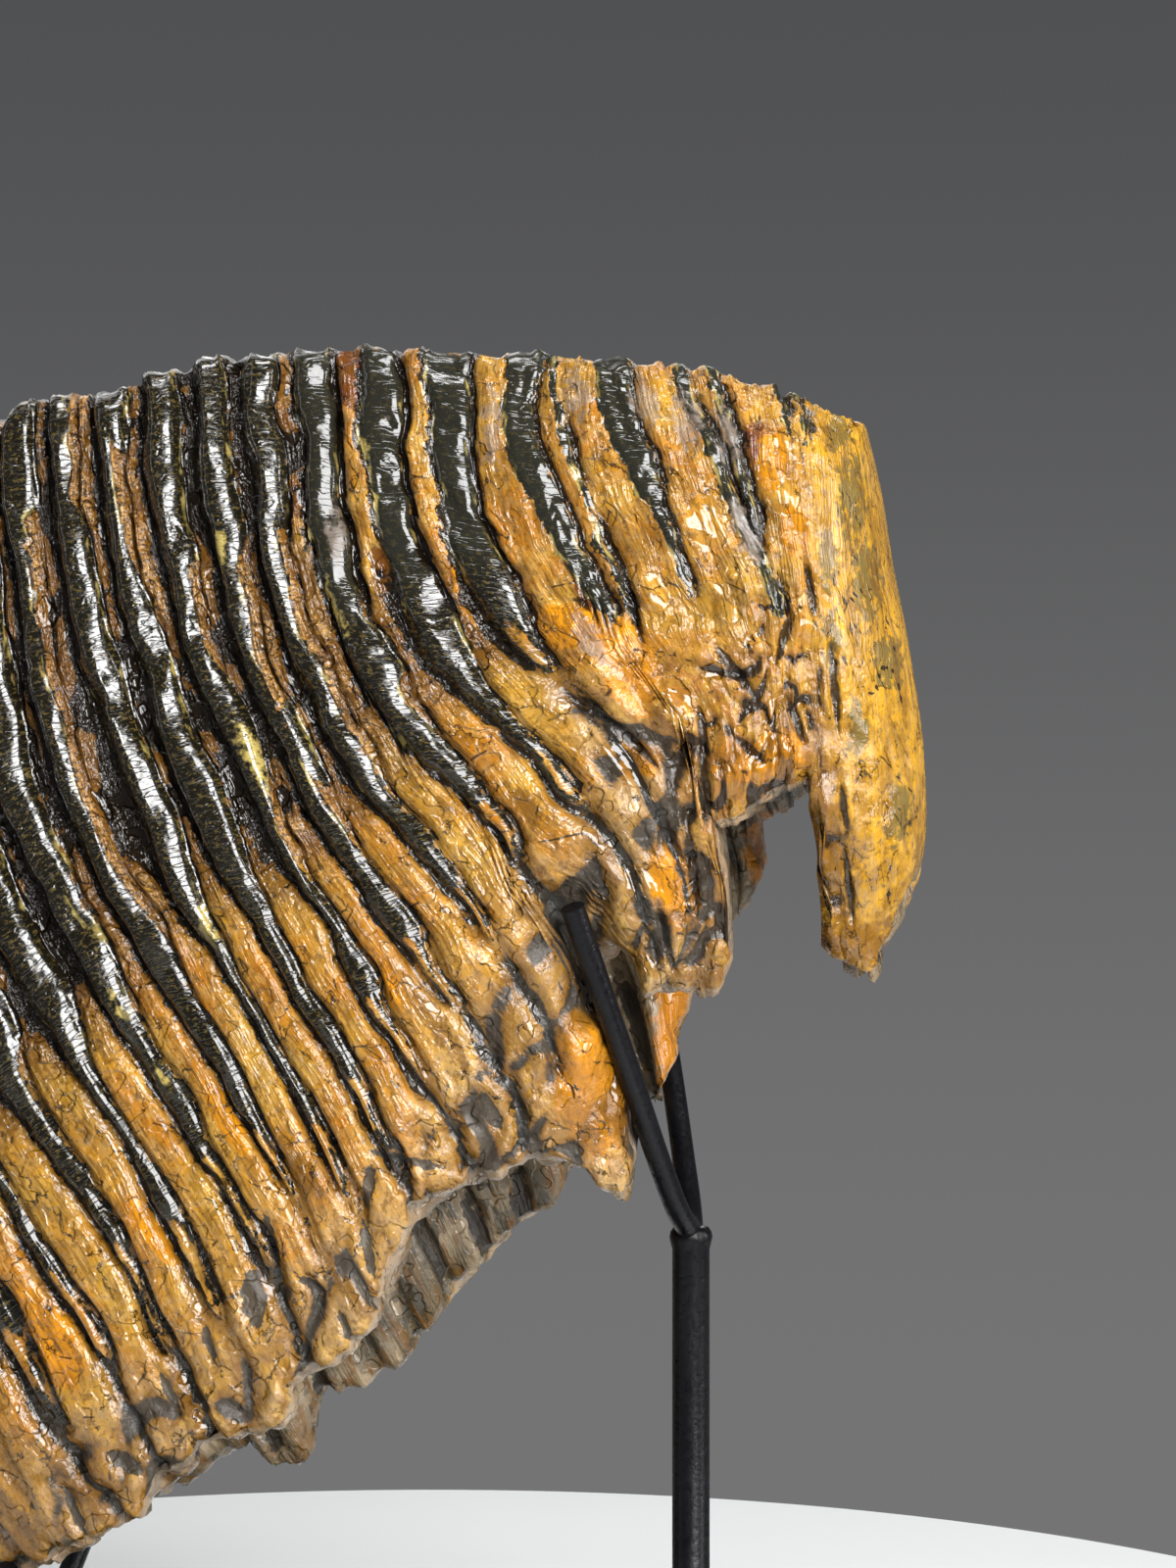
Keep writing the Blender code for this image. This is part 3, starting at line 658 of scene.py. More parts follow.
    def join_front_and_back(self):
        """The front plates, the regular plates and the plain last plate run into one another."""
        enamel, cement, rim, trench = self.lay_front()
        self.enamel = mix(mix(enamel, self.enamel, self.regular), -9, self.last)
        self.cement = mix(cement, self.cement, self.regular)
        self.cement = mix(self.cement, 0.6 * self.medium + 0.5 * self.ragged, self.last)
        self.floor = mix(-2.4, self.floor, self.regular)
        self.rim = mix(mix(rim, self.rim, self.regular), 9, self.last)
        self.seam = mix(0.35, self.seam, self.regular)
        self.trench = mix(trench, self.trench, self.regular)

    def crack_blocks(self, depth):
        """Blocks of root cement at slightly different heights, with cracks between them."""
        places = self.strata / np.array((BLOCK_SIZE, BLOCK_SIZE, 2 * BLOCK_SIZE))
        places = places + 0.25 * np.column_stack([self.medium, self.quick, self.slow])
        edges = []
        tones = []
        for place in places.tolist():
            distances, centres = noise.voronoi(place)
            edges.append(distances[1] - distances[0])
            tones.append(noise.cell(centres[0] * 7.3))
        self.block_edges = np.array(edges)
        self.tones = np.array(tones)
        self.cracked = self.root * past(self.medium, -0.5, 0.3) * (1 - 0.8 * self.front)
        return 0.8 * self.root * self.tones - depth * self.cracked * short_of(self.block_edges, 0.17, 0.1)

    def raise_swellings(self):
        """Rounded swellings that meet in creases, on the roots, the front plates and the last plate."""
        plate = self.plate
        lumpy = np.maximum(self.root, short_of(plate, 7.5, 3) * past(self.level, 0.3, 0.25))
        lumpy = np.maximum(np.maximum(lumpy, 0.5 * short_of(plate, 3.5, 1.5)), self.last)
        lumpy = lumpy * (1 - 0.5 * self.root)
        swellings = np.abs(self.swells((13, 17, 18), 14))
        dimples = np.abs(self.swells((5.5, 7, 9), 15))
        creases = np.maximum(short_of(swellings, 0.05, 0.04), 0.5 * short_of(dimples, 0.03, 0.03))
        self.open_ring = past(plate, -0.95, 0.2) * short_of(plate, 25.95, 0.2)
        self.crease = lumpy * creases * self.open_ring
        grain = 0.2 * self.fine * (1 - 0.8 * (self.enamel > self.cement))
        return lumpy * (2.8 * swellings + dimples - 1.1) - 0.5 * self.crease + grain

    def groove_front(self):
        """Upright grooves down the front face."""
        upright = np.column_stack([self.plate * PLATE_PITCH, self.level * TALLEST, self.sideways])
        self.grooves = field(upright, (7, 45, 6), 16)
        return self.front * (0.9 * self.medium + 0.7 * self.grooves)

    def crown(self, side):
        """The chewing surface: worn plates have two enamel rims with softer dentine sunk between."""
        edge = np.abs(self.place)
        self.loop = past(edge, 0.5, 0.2)
        worn = np.where(edge < 1, mix(-1.6, 0.2, self.loop), mix(-0.4, -2.6, past(self.rim, 0.2, 1.5)))
        worn = worn + 0.7 * self.quick + 0.4 * self.ragged
        fingers = 0.5 + 0.5 * np.cos(2 * math.pi * (self.sideways + 1.5 * self.quick) / FINGER_SPAN)
        domed = side * 1.1 + 1.6 * fingers * ease(1.1 - edge)
        return mix(worn, domed, self.unworn)

    def relief(self, sizes):
        """How far every place stands out, in mm. The masks are made after it."""
        self.lay_plates()
        self.join_front_and_back()
        side = np.maximum(np.maximum(self.enamel, self.cement), self.floor)
        side = side + self.crack_blocks(sizes.crack / MM) + self.raise_swellings() + self.groove_front()
        self.height = side
        scale = straight(RIDGE_HEIGHTS, self.plate) / 3.0 * 0.75 + 0.25
        chips = np.clip(self.swells((6, 4, 5), 17) + 0.2, 0, 1) * self.top * (1 - self.top)
        outer = mix(side, self.crown(side), self.top) * scale * sizes.relief - 9 * chips
        self.gap = past(np.abs(np.sin(math.pi * (self.plate + 0.12 * self.medium))), 0.72, 0.25)
        inner = 0.6 * self.medium + 0.5 * self.quick + 0.3 * self.fine - 1.8 * self.gap
        return mix(outer, inner, self.inside)

    def masks(self):
        """Shares from 0 to 1, and for rim, height and block_edge millimetres, for the finish."""
        plate, regular = self.plate, self.regular
        on_side, outside, high = 1 - self.top, 1 - self.inside, 1 - self.low
        tip = past(self.below_enamel, -0.1, 0.05) * short_of(np.abs(self.place), 0.7, 0.4)
        worn_core = self.top * (1 - self.unworn) * (1 - self.loop)
        bottom = np.where(self.sideways < 0, straight(NEAR_ENDS, plate), straight(FAR_ENDS, plate))
        return {
            "rim": mix(self.rim, 9, self.inside),
            "core": np.maximum(tip * (self.level > 0.5), worn_core) * regular * outside,
            "seam": self.seam * (1 - self.cover),
            "height": self.height,
            "root": past(self.below_enamel, -0.02, 0.12),
            "block_edge": self.block_edges * BLOCK_SIZE + 9 * (1 - self.cracked * self.open_ring),
            "block_tone": 0.5 + 0.5 * self.tones,
            # outside, creases between swellings; inside, the grooves between the fingers, painted black as
            # painted shade
            "crease": mix(self.crease, self.gap * ease(0.6 + self.quick), self.inside),
            "ribbed": np.maximum(self.ribbed, 1 - regular),
            "front": short_of(plate, 3.4, 1.6),
            "golden": short_of(plate, 9.5, 2),
            "mottle": np.clip(0.5 + 0.8 * self.medium + 0.5 * self.quick, 0, 1),
            "groove": self.front * past(-self.grooves, 0.1, 0.3),
            "inside": self.inside,
            "crown": self.top,
            "broken": (1 - self.kept) * regular * high * (1 - self.crust),
            "crust": self.crust * regular,
            "shaded": (1 - self.ribbed) * high * regular * on_side,
            "low": self.low * regular * on_side,
            "trench": self.trench * on_side * outside * self.open_ring,
            # the band along the foot of the root walls that gets the pale film with its painted highlight
            "skin": past(self.level - bottom, -0.018, 0.014) * outside * (plate > 2.8),
        }


def patch_masks(x, z, sideways, inside):
    """The masks of the patches that have a place of their own."""
    near = (sideways < 0) * (1 - inside)
    masks = {name: patches(x, z, spots) * near for name, spots in NEAR_PATCHES.items()}
    masks["amber"] = np.maximum(masks["amber"], patches(x, z, FAR_AMBER) * (sideways > 0))
    for name, spots in BOTH_SIDES_PATCHES.items():
        masks[name] = patches(x, z, spots) * (1 - inside)
    return masks


# ------------------------------------------------------------------ the tooth's mesh
def rod_route(arm, step):
    """Evenly spaced points along the whole bent rod, from its near tip to its far tip."""
    mirrored = [(x, -y, z) for x, y, z in arm[:0:-1]]
    corners = np.array(mirrored + list(arm))
    run = np.concatenate(([0], np.cumsum(np.linalg.norm(np.diff(corners, axis=0), axis=1))))
    return smooth(run, corners, np.linspace(0, run[-1], round(run[-1] / step) + 1))


def clear_of_rods(points):
    """Presses the surface back where it would reach into a cradle rod."""
    reach = ROD_RADIUS + ROD_CLEARANCE
    for arm in ARMS.values():
        for centre in rod_route(arm, ROD_CHECK_STEP):
            away = points - centre
            distance = np.linalg.norm(away, axis=1)
            close = distance < reach
            points[close] = centre + away[close] / distance[close, None] * reach
    return points


def smooth_body(plate, share, level, inside):
    """The tooth's points before its relief, and how far sideways each lies.

    The plates wander a little, and swell and thin on their way down.
    """
    strata = in_strata(plate, level, share * TYPICAL_HALF_WIDTH)
    drift = 0.08 * field(strata, (26, 30, 60), 8) + 0.045 * field(strata, (14, 11, 30), 9)
    swell = 0.07 * field(strata, (10, 22, 40), 10) * np.sin(2 * math.pi * (plate - np.round(plate)))
    free = (1 - past(level, 0.82, 0.12)) * past(plate, 2, 2) * short_of(plate, PLATES[-1], 2)
    moved = plate + (drift + swell) * free * (1 - inside)
    held = np.clip(level, 0, ROOT_TIP)
    x, z = sheet(moved, held).T
    z = z - (level - held) * TALLEST
    sideways = share * half_width(moved, held)
    points = np.column_stack([x, sideways, z])
    swells = np.array([noise.noise_vector(Vector(point) / SWELL_SPAN) for point in points.tolist()])
    return points + SWELL_HEIGHT * swells, sideways


def normals_and_pitch(grid, places):
    """The way out of the surface at each point, and the distance between plates there."""
    along = np.gradient(grid, axis=0)
    around = np.roll(grid, -1, axis=1) - np.roll(grid, 1, axis=1)
    normals = np.cross(around, along)
    length = np.linalg.norm(normals, axis=2, keepdims=True)
    normals = normals / np.maximum(length, 1e-9)
    if (normals * (grid - grid.mean(axis=1, keepdims=True))).sum() < 0:
        normals = -normals
    pitch = length[..., 0] / np.linalg.norm(around, axis=2).clip(1e-6) / np.gradient(places)[:, None]
    return normals.reshape(-1, 3), pitch.ravel()


def shape_near_side(points, normals, near):
    """Raises the lumps, makes room for the rods, and carves the crevices."""
    for x, z, size, height in LUMPS:
        distance = np.hypot(points[:, 0] - x, points[:, 2] - z) / size
        points = points + normals * (height * np.exp(-1.6 * distance**2) * near)[:, None]
    points = clear_of_rods(points)
    carved = [patches(points[:, 0], points[:, 2], NEAR_PATCHES[name]) for name in ("crevice", "clay")]
    return points - CREVICE_DEPTH * normals * ease(2 * np.maximum(*carved) * near)[:, None]


def run_down(grid):
    """How far each point lies from the middle of the chewing surface, round its ring."""
    steps = np.linalg.norm(np.diff(grid, axis=1, prepend=grid[:, :1]), axis=2)
    run = np.cumsum(steps, axis=1)
    total = run[:, -1:] - run[:, :1]
    run = np.abs(run - run[:, TOP_POINTS // 2][:, None])
    return np.minimum(run, np.abs(total - run)).ravel()


def tooth_mesh(sizes):
    """The whole tooth as one closed mesh, with a mask for each finish on its vertices."""
    noise.seed_set(SWELL_SEED)
    places = stations()
    rings = np.array([ring(plate) for plate in places])
    count, around = rings.shape[:2]
    plate = np.repeat(places, around)
    share, level, top, inside = rings.reshape(-1, 4).T
    level = np.clip(level, *LEVEL_LIMITS)

    points, sideways = smooth_body(plate, share, level, inside)
    grid = points.reshape(count, around, 3)
    normals, pitch = normals_and_pitch(grid, places)
    surface = Surface(plate, level, points[:, 0], sideways, points[:, 2], top, inside, pitch)
    flat_ends = past(plate, PLATES[0], 0.5) * short_of(plate, PLATES[-1], 0.4)
    points = points + normals * (surface.relief(sizes) * flat_ends)[:, None]
    points = shape_near_side(points, normals, (sideways < 0) * (1 - inside))
    low, high = (np.array(corner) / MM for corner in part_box("mammoth_tooth"))
    points = np.clip(points, low + BOX_MARGIN, high - BOX_MARGIN)

    data = bpy.data.meshes.new("fossil_tooth")
    data.from_pydata((points * MM).tolist(), [], tooth_faces(count, around))
    masks = {**surface.masks(), **patch_masks(points[:, 0], points[:, 2], sideways, inside)}
    for name, values in masks.items():
        store(data, name, "FLOAT", "value", values)
    grain = np.column_stack([plate * PLATE_PITCH, run_down(grid), 20 * np.tanh(sideways / 8)])
    store(data, "grain", "FLOAT_VECTOR", "vector", grain)
    return data


def store(data, name, kind, field_name, values):
    layer = data.attributes.new(name, kind, "POINT")
    layer.data.foreach_set(field_name, np.asarray(values, np.float32).ravel())


def tooth_faces(count, around):
    """Quads between the rings, with a cap at each end."""
    faces = []
    for a in range(0, (count - 1) * around, around):
        b = a + around
        for j in range(around):
            k = (j + 1) % around
            faces.append((a + j, a + k, b + k, b + j))
    back = (count - 1) * around
    return faces + end_cap(0, around) + [face[::-1] for face in end_cap(back, around)]


def end_cap(first, around):
    """Quads that close an end of the stack, from its far side across to its near side."""
    start = TOP_POINTS // 2
    faces = []
    for i in range(around // 2 - 1):
        corners = (start + i, start + i + 1, start - i - 2, start - i - 1)
        face = tuple(first + corner % around for corner in corners)
        faces.append(face if len(set(face)) == 4 else face[:3])
    return faces


# ------------------------------------------------------------------ shader helpers
NODES_PER_ROW = 12
NODE_WIDTH, NODE_HEIGHT = 220, 260  # room for one node where the tree is laid out


class Nodes:
    """The nodes of one shader tree, with short calls that add and link them."""

    def __init__(self, tree):
        self.tree = tree

    def feed(self, socket, value):
        """Links an input to another node, or sets it to a number, a place or a colour."""
        if isinstance(value, bpy.types.NodeSocket):
            self.tree.links.new(value, socket)
        elif socket.type == "RGBA":
            socket.default_value = (*value, 1)
        else:
            socket.default_value = value

    def put(self, kind, inputs=None, **options):
        """Adds a node, sets its options, and fills or links its inputs."""
        node = self.tree.nodes.new("ShaderNode" + kind)
        for name, value in options.items():
            setattr(node, name, value)
        for name, value in (inputs or {}).items():
            self.feed(node.inputs[name], value)
        row, column = divmod(len(self.tree.nodes), NODES_PER_ROW)
        node.location = (column * NODE_WIDTH, -row * NODE_HEIGHT)
        return node

    def give(self, name, value):
        """Fills or links an input of the material's main shader."""
        self.feed(self.tree.nodes["Principled BSDF"].inputs[name], value)

    def place_in_mm(self):
        place = self.put("TexCoord").outputs["Object"]
        return self.stretch(place, 1 / MM, 1 / MM, 1 / MM)

    def blend(self, share, low, high):
        """One colour over another."""
        return self.put("Mix", {0: share, 6: low, 7: high}, data_type="RGBA").outputs[2]

    def level(self, share, low, high):
        """One number over another."""
        return self.put("Mix", {0: share, 2: low, 3: high}, data_type="FLOAT").outputs[0]

    def maths(self, operation, *values):
        return self.put("Math", dict(enumerate(values)), operation=operation).outputs[0]

    def times(self, a, b):
        return self.maths("MULTIPLY", a, b)

    def plus(self, a, b):
        return self.maths("ADD", a, b)

    def most(self, a, b):
        return self.maths("MAXIMUM", a, b)

    def between(self, value, low, high, to_low=0.0, to_high=1.0):
        """Brings a value from one range to another, softly, and holds it there."""
        inputs = {"Value": value, "From Min": low, "From Max": high, "To Min": to_low, "To Max": to_high}
        return self.put("MapRange", inputs, interpolation_type="SMOOTHSTEP").outputs[0]

    def vectors(self, operation, a, b):
        return self.put("VectorMath", {0: a, 1: b}, operation=operation).outputs[0]

    def stretch(self, vector, x, y, z=1.0):
        return self.vectors("MULTIPLY", vector, (x, y, z))

    def moved(self, vector, warp, reach):
        """A place pushed aside by a warp, as far as the reach says in each direction."""
        return self.vectors("ADD", vector, self.vectors("MULTIPLY", warp, reach))

    def cloud(self, vector, scale, detail=3.0, roughness=0.55, distortion=0.0):
        inputs = {"Vector": vector, "Scale": scale, "Detail": detail, "Roughness": roughness}
        return self.put("TexNoise", {**inputs, "Distortion": distortion}).outputs["Fac"]

    def bump(self, height, strength=1.0):
        """Gives the main shader a fine relief, with its height in mm."""
        node = self.put("Bump", {"Height": height, "Distance": MM, "Strength": strength})
        self.give("Normal", node.outputs[0])

    def use(self, name, inputs):
        """Adds a shared group of nodes, and fills or links its inputs."""
        node = self.tree.nodes.new("ShaderNodeGroup")
        node.node_tree = bpy.data.node_groups[name]
        for socket, value in inputs.items():
            self.feed(node.inputs[socket], value)
        return node.outputs


def new_material(name):
    material = bpy.data.materials.new(name)
    material.use_nodes = True
    return material


def group(name, inputs, outputs):
    """A new shared group: its nodes, its inputs to read, and its outputs to link to."""
    tree = bpy.data.node_groups.new(name, "ShaderNodeTree")
    for direction, sockets in (("INPUT", inputs), ("OUTPUT", outputs)):
        for socket, kind in sockets.items():
            tree.interface.new_socket(socket, in_out=direction, socket_type="NodeSocket" + kind)
    source = tree.nodes.new("NodeGroupInput").outputs
    target = tree.nodes.new("NodeGroupOutput").inputs
    return Nodes(tree), source, target


def make_wrinkles():
    """Wavy creases across the way the enamel runs, from 0 in a crease to 1 between them."""
    nodes, source, target = group("wrinkles", {"Grain": "Vector"}, {"Height": "Float"})
    rows = nodes.cloud(nodes.stretch(source["Grain"], 0.2, 0.75), 1.0, 1.0, 0.5, 0.4)
    middle = nodes.maths("ABSOLUTE", nodes.maths("SUBTRACT", rows, 0.5))
    nodes.feed(target["Height"], nodes.between(middle, 0.0, 0.06))


def make_crackle():
    """Fine cracks that wander, from 0 in the open to 1 in a crack."""
    inputs = {"Vector": "Vector", "Warp": "Float", "Scale": "Float", "Width": "Float"}
    nodes, source, target = group("crackle", inputs, {"Crack": "Float"})
    place = nodes.moved(source["Vector"], source["Warp"], (4.0, -3.0, 4.0))
    cells = nodes.put("TexVoronoi", {"Vector": place, "Scale": source["Scale"]}, feature="DISTANCE_TO_EDGE")
    thin = nodes.maths("DIVIDE", cells.outputs["Distance"], source["Width"])
    nodes.feed(target["Crack"], nodes.between(thin, 0.2, 1.0, 1.0, 0.0))


def make_mottle():
    """Soft blotches, from 0 to 1."""
    nodes, source, target = group("mottle", {"Vector": "Vector", "Scale": "Float"}, {"Blotch": "Float"})
    blotch = nodes.cloud(source["Vector"], nodes.times(source["Scale"], 0.2), 3.0, 0.65, 0.5)
    nodes.feed(target["Blotch"], nodes.between(blotch, 0.36, 0.64))


def make_cement():
    """Cement that flakes: its height in mm, its hollows, its flakes and its fibres."""
    inputs = {"Grain": "Vector", "Place": "Vector"}
    inputs.update({"Warp": "Float", "Fibrous": "Float", "Shortness": "Float"})
    outputs = {name: "Float" for name in ("Height", "Hollow", "Flake", "Fibre")}
    nodes, source, target = group("cement", inputs, outputs)

    squash = nodes.put("CombineXYZ", {"X": 1.4, "Y": source["Shortness"], "Z": 0.9}).outputs[0]
    fibre = nodes.cloud(nodes.vectors("MULTIPLY", source["Grain"], squash), 1.0, 2.0, 0.5)
    fibre = nodes.level(source["Fibrous"], 0.5, fibre)
    place = nodes.stretch(nodes.moved(source["Grain"], source["Warp"], (3.0, 5.0, 3.0)), 0.34, 0.17)
    cells = nodes.put("TexVoronoi", {"Vector": place, "Scale": 1.0})
    flake = nodes.put("SeparateXYZ", {0: cells.outputs["Color"]}).outputs[0]
    pits = nodes.cloud(source["Place"], 0.5, 2.5, 0.6)
    nodes.feed(target["Height"], nodes.plus(nodes.times(fibre, 0.45), nodes.times(pits, 0.5)))
    nodes.feed(target["Hollow"], nodes.between(pits, 0.34, 0.44, 1.0, 0.0))
    nodes.feed(target["Flake"], flake)
    nodes.feed(target["Fibre"], fibre)


def make_groups():
    """Builds the shared groups once."""
    if "wrinkles" not in bpy.data.node_groups:
        for make in (make_wrinkles, make_crackle, make_mottle, make_cement):
            make()


# ------------------------------------------------------------------ the tooth's finish
class ToothFinish(Nodes):
    """Enamel, cement, root and clay under one coat of varnish."""

    def __init__(self, tree, colours, sizes):
        super().__init__(tree)
        self.tint = {name: tuple(getattr(colours, name)) for name in COLOUR_NAMES}
        self.wrinkle_height = sizes.wrinkle / MM
        self.masks = {}
        self.make_patterns()
        self.make_shares()

    def mask(self, name):
        """A mask from the mesh, which is read once."""
        if name not in self.masks:
            self.masks[name] = self.put("Attribute", attribute_name=name).outputs["Fac"]
        return self.masks[name]

    def torn(self, share, amount=1.0):
        """A mask, by its name or its socket, with a ragged edge."""
        share = self.mask(share) if isinstance(share, str) else share
        return self.plus(share, self.times(self.ragged, amount))

    def lay(self, name, share, under):
        """One of the tooth's colours over another shade."""
        return self.blend(share, under, self.tint[name])

    def mixed(self, share, low, high):
        """A shade between two of the tooth's colours."""
        return self.blend(share, self.tint[low], self.tint[high])

    def make_patterns(self):
        """The patterns that more than one material of the tooth uses."""
        self.grain = self.put("Attribute", attribute_name="grain").outputs["Vector"]
        self.place = self.place_in_mm()
        self.specks = self.cloud(self.stretch(self.grain, 0.9, 1.1, 0.9), 1.0, 3.0, 0.75)
        self.ragged = self.maths("SUBTRACT", self.cloud(self.place, 0.42, 3.0, 0.62), 0.5)
        self.blotch = self.between(self.ragged, -0.12, 0.12)
        self.streaks = self.cloud(self.stretch(self.grain, 0.5, 0.11), 1.0, 2.0, 0.6)
        self.warp = self.cloud(self.place, 0.22, 1.0)
        self.wrinkles = self.use("wrinkles", {"Grain": self.grain})["Height"]
        front = self.mask("front")
        fibrous = self.most(self.between(self.mask("root"), 0.0, 0.6, 1.0, 0.25), self.mask("inside"))
        inputs = {"Grain": self.grain, "Place": self.place, "Warp": self.warp, "Fibrous": fibrous}
        self.cement = self.use("cement", {**inputs, "Shortness": self.between(front, 0.0, 1.0, 0.13, 0.05)})
        self.calm_front = self.level(front, 1.0, 0.65)  # keeps flakes and pits faint on the front face

    def make_shares(self):
        """How much of each place is enamel, amber, dust, pooled varnish, dark spots and clay."""
        self.edge = self.torn("rim", 3.6)
        self.is_enamel = self.between(self.edge, 0.08, -0.08)
        self.amber = self.between(self.torn("amber"), 0.25, 0.6)
        self.dusty = self.between(self.torn("dusty", 2.6), 0.3, 0.9, 0.0, 0.6)
        self.pooled = self.between(self.torn("pooled"), 0.25, 0.45)
        spots = self.most(self.mask("clay"), self.mask("crease"))
        self.spots = self.between(self.torn(spots), 0.43, 0.5)
        clay = self.most(self.between(self.torn("block_edge", 2.5), 3.3, 2.1), self.spots)
        self.clay = self.times(clay, self.level(self.amber, 0.9, 0.15))

    def enamel(self):
        """Black enamel with olive specks, pale along its edges and where it is thin, with one pale patch
        that is a painted highlight.
        """
        ribbed = self.mask("ribbed")
        enamel = self.mixed(ribbed, "enamel", "charcoal")
        olive = self.times(self.between(self.specks, 0.53, 0.62), self.level(ribbed, 0.7, 0.25))
        enamel = self.lay("olive", olive, enamel)
        edge = self.between(self.torn("rim", 2.5), -1.2, -0.5)
        edge = self.times(edge, self.between(self.streaks, 0.52, 0.66, 0.0, 0.6))
        enamel = self.lay("cream", edge, enamel)
        # cream patches: thin enamel, and one that is a painted highlight on the enamel
        thin = self.plus(self.mask("cream"), self.between(self.streaks, 0.6, 0.8, -0.35, 0.4))
        enamel = self.lay("cream", self.between(self.torn(thin, 1.8), 0.35, 0.8, 0.0, 0.85), enamel)
        return self.lay("clay", self.times(self.mask("low"), self.between(self.streaks, 0.5, 0.6)), enamel)

    def strips(self):
        """Cement between the plates: rusty where it broke off, darkened by umber painted shade deep between
        the ridges, crusted on top.
        """
        height, shaded = self.mask("height"), self.mask("shaded")
        strips = self.mixed(self.mask("mottle"), "ochre", "orange")
        strips = self.lay("tan", self.times(self.blotch, 0.5), strips)
        rusty = self.most(self.mask("rust"), self.times(self.mask("broken"), 0.9))
        strips = self.lay("rust", self.between(self.torn(rusty), 0.3, 0.7), strips)
        # painted shade: umber darkens the cement where it lies deep between the ridges
        deep_shade = self.between(self.torn(self.streaks, 0.6), 0.45, 0.72, 0.98, 0.3)
        deep_shade = self.times(deep_shade, self.between(height, -1.0, 0.9, 1.25, 0.55))
        strips = self.lay("umber", self.times(deep_shade, shaded), strips)
        crusted = self.between(self.torn("crust", 2.5), 0.5, 1.1, 0.0, 0.7)
        crusted = self.times(crusted, self.between(height, -0.6, 0.8))
        strips = self.lay("peach", crusted, strips)
        pepper = self.between(self.specks, 0.52, 0.45, 0.0, 0.9)
        return self.lay("enamel", self.times(pepper, shaded), strips)

    def root(self):
        """Root cement in blocks of different tones, golden towards the front."""
        root = self.mixed(self.mask("block_tone"), "ochre", "tan")
        root = self.lay("pink", self.times(self.blotch, 0.6), root)
        root = self.lay("brown", self.between(self.streaks, 0.52, 0.68, 0.0, 0.6), root)
        gilded = self.mixed(self.blotch, "ochre", "orange")
        return self.blend(self.times(self.mask("golden"), 0.75), root, gilded)

    def front(self):
        """The yellow front face with its streaks, stains and grooves."""
        front = self.mixed(self.blotch, "yellow", "ochre")
        front = self.lay("tan", self.between(self.streaks, 0.5, 0.66, 0.0, 0.7), front)
        browner = self.times(self.mask("root"), self.between(self.warp, 0.4, 0.6, 0.0, 0.4))
        front = self.lay("brown", browner, front)
        front = self.lay("stain", self.between(self.torn("stained", 3.0), 0.25, 0.7, 0.0, 0.85), front)
        return self.lay("brown", self.times(self.mask("groove"), 0.3), front)

    def brown_stain_and_shade(self, body):
        """Brown stain in patches, flakes, along fibres and in hollows, and brown painted shade in sunken
        places, beside the cracks between blocks and in some of the patches.
        """
        cement = self.cement
        flakes = self.between(cement["Flake"], 0.0, 1.0, 0.4, 0.0)
        sunken = self.between(self.mask("height"), 0.5, -0.9, 0.0, 0.5)
        shares = (
            self.between(self.torn("brown_stain_and_shade", 2.0), 0.25, 0.9, 0.0, 0.75),
            self.times(flakes, self.calm_front),
            self.between(cement["Fibre"], 0.48, 0.62, 0.0, 0.6),
            # painted shade: brown where the surface lies low
            self.times(sunken, self.calm_front),
            self.times(cement["Hollow"], 0.6),
            # painted shade: brown darkening towards the cracks between blocks
            self.between(self.torn("block_edge", 9.0), 7.5, 2.5, 0.0, 0.6),
        )
        for share in shares:
            body = self.lay("brown", share, body)
        return body

    def body(self):
        """All the cement, with its stains, pits and fine cracks."""
        body = self.blend(self.mask("root"), self.strips(), self.root())
        body = self.blend(self.mask("front"), body, self.front())
        body = self.brown_stain_and_shade(self.lay("amber", self.amber, body))
        pits = self.between(self.specks, 0.4, 0.33, 0.0, 0.8)
        body = self.lay("umber", self.times(pits, self.calm_front), body)
        inputs = {"Vector": self.stretch(self.grain, 1.3, 0.7), "Warp": self.ragged}
        cracks = self.use("crackle", {**inputs, "Scale": 0.13, "Width": 0.03})["Crack"]
        return self.lay("dark", self.times(cracks, self.between(self.warp, 0.48, 0.54, 0.0, 0.85)), body)

    def gaps(self, under):
        """Painted shade: black in the gaps beside the enamel, in the trenches and wherever the surface is
        deep, greyer with clay low down.
        """
        beside = self.times(self.between(self.edge, 1.0, 0.5), self.between(self.edge, -0.25, 0.05))
        beside = self.times(beside, self.mask("seam"))
        # painted shade: black wherever the surface lies deep
        sunk = self.between(self.torn("height", 1.6), -1.7, -0.8, 1.0, 0.0)
        sunk = self.times(sunk, self.level(self.mask("root"), 1.0, 0.35))
        deep = self.most(self.most(beside, sunk), self.times(self.mask("trench"), 1.1))
        bottom = self.mixed(self.times(self.mask("low"), 0.5), "dark", "clay")
        return self.blend(self.between(deep, 0.3, 0.8, 0.0, 0.96), under, bottom)

    def hollow(self):
        """The inside of the roots."""
        hollow = self.mixed(self.mask("block_tone"), "hollow", "taupe")
        hollow = self.lay("clay", self.between(self.cement["Flake"], 0.4, 0.9, 0.0, 0.7), hollow)
        hollow = self.lay("brown", self.between(self.streaks, 0.5, 0.62, 0.0, 0.6), hollow)
        # painted shade: black in the grooves between the fingers of the hollow
        hollow = self.lay("dark", self.times(self.spots, 0.85), hollow)
        return self.lay("orange", self.amber, hollow)

    def colour(self):
        """Enamel over cement, then dust, clay, painted shade in the crevices and gaps, the hollow, and the
        film of varnish along the root edges with its painted highlight.
        """
        body = self.body()
        colour = self.blend(self.is_enamel, body, self.enamel())
        colour = self.blend(self.between(self.torn("core", 1.2), 0.4, 0.7), colour, body)
        colour = self.lay("dust", self.dusty, colour)
        colour = self.blend(self.clay, colour, self.mixed(self.mask("golden"), "clay", "dark"))
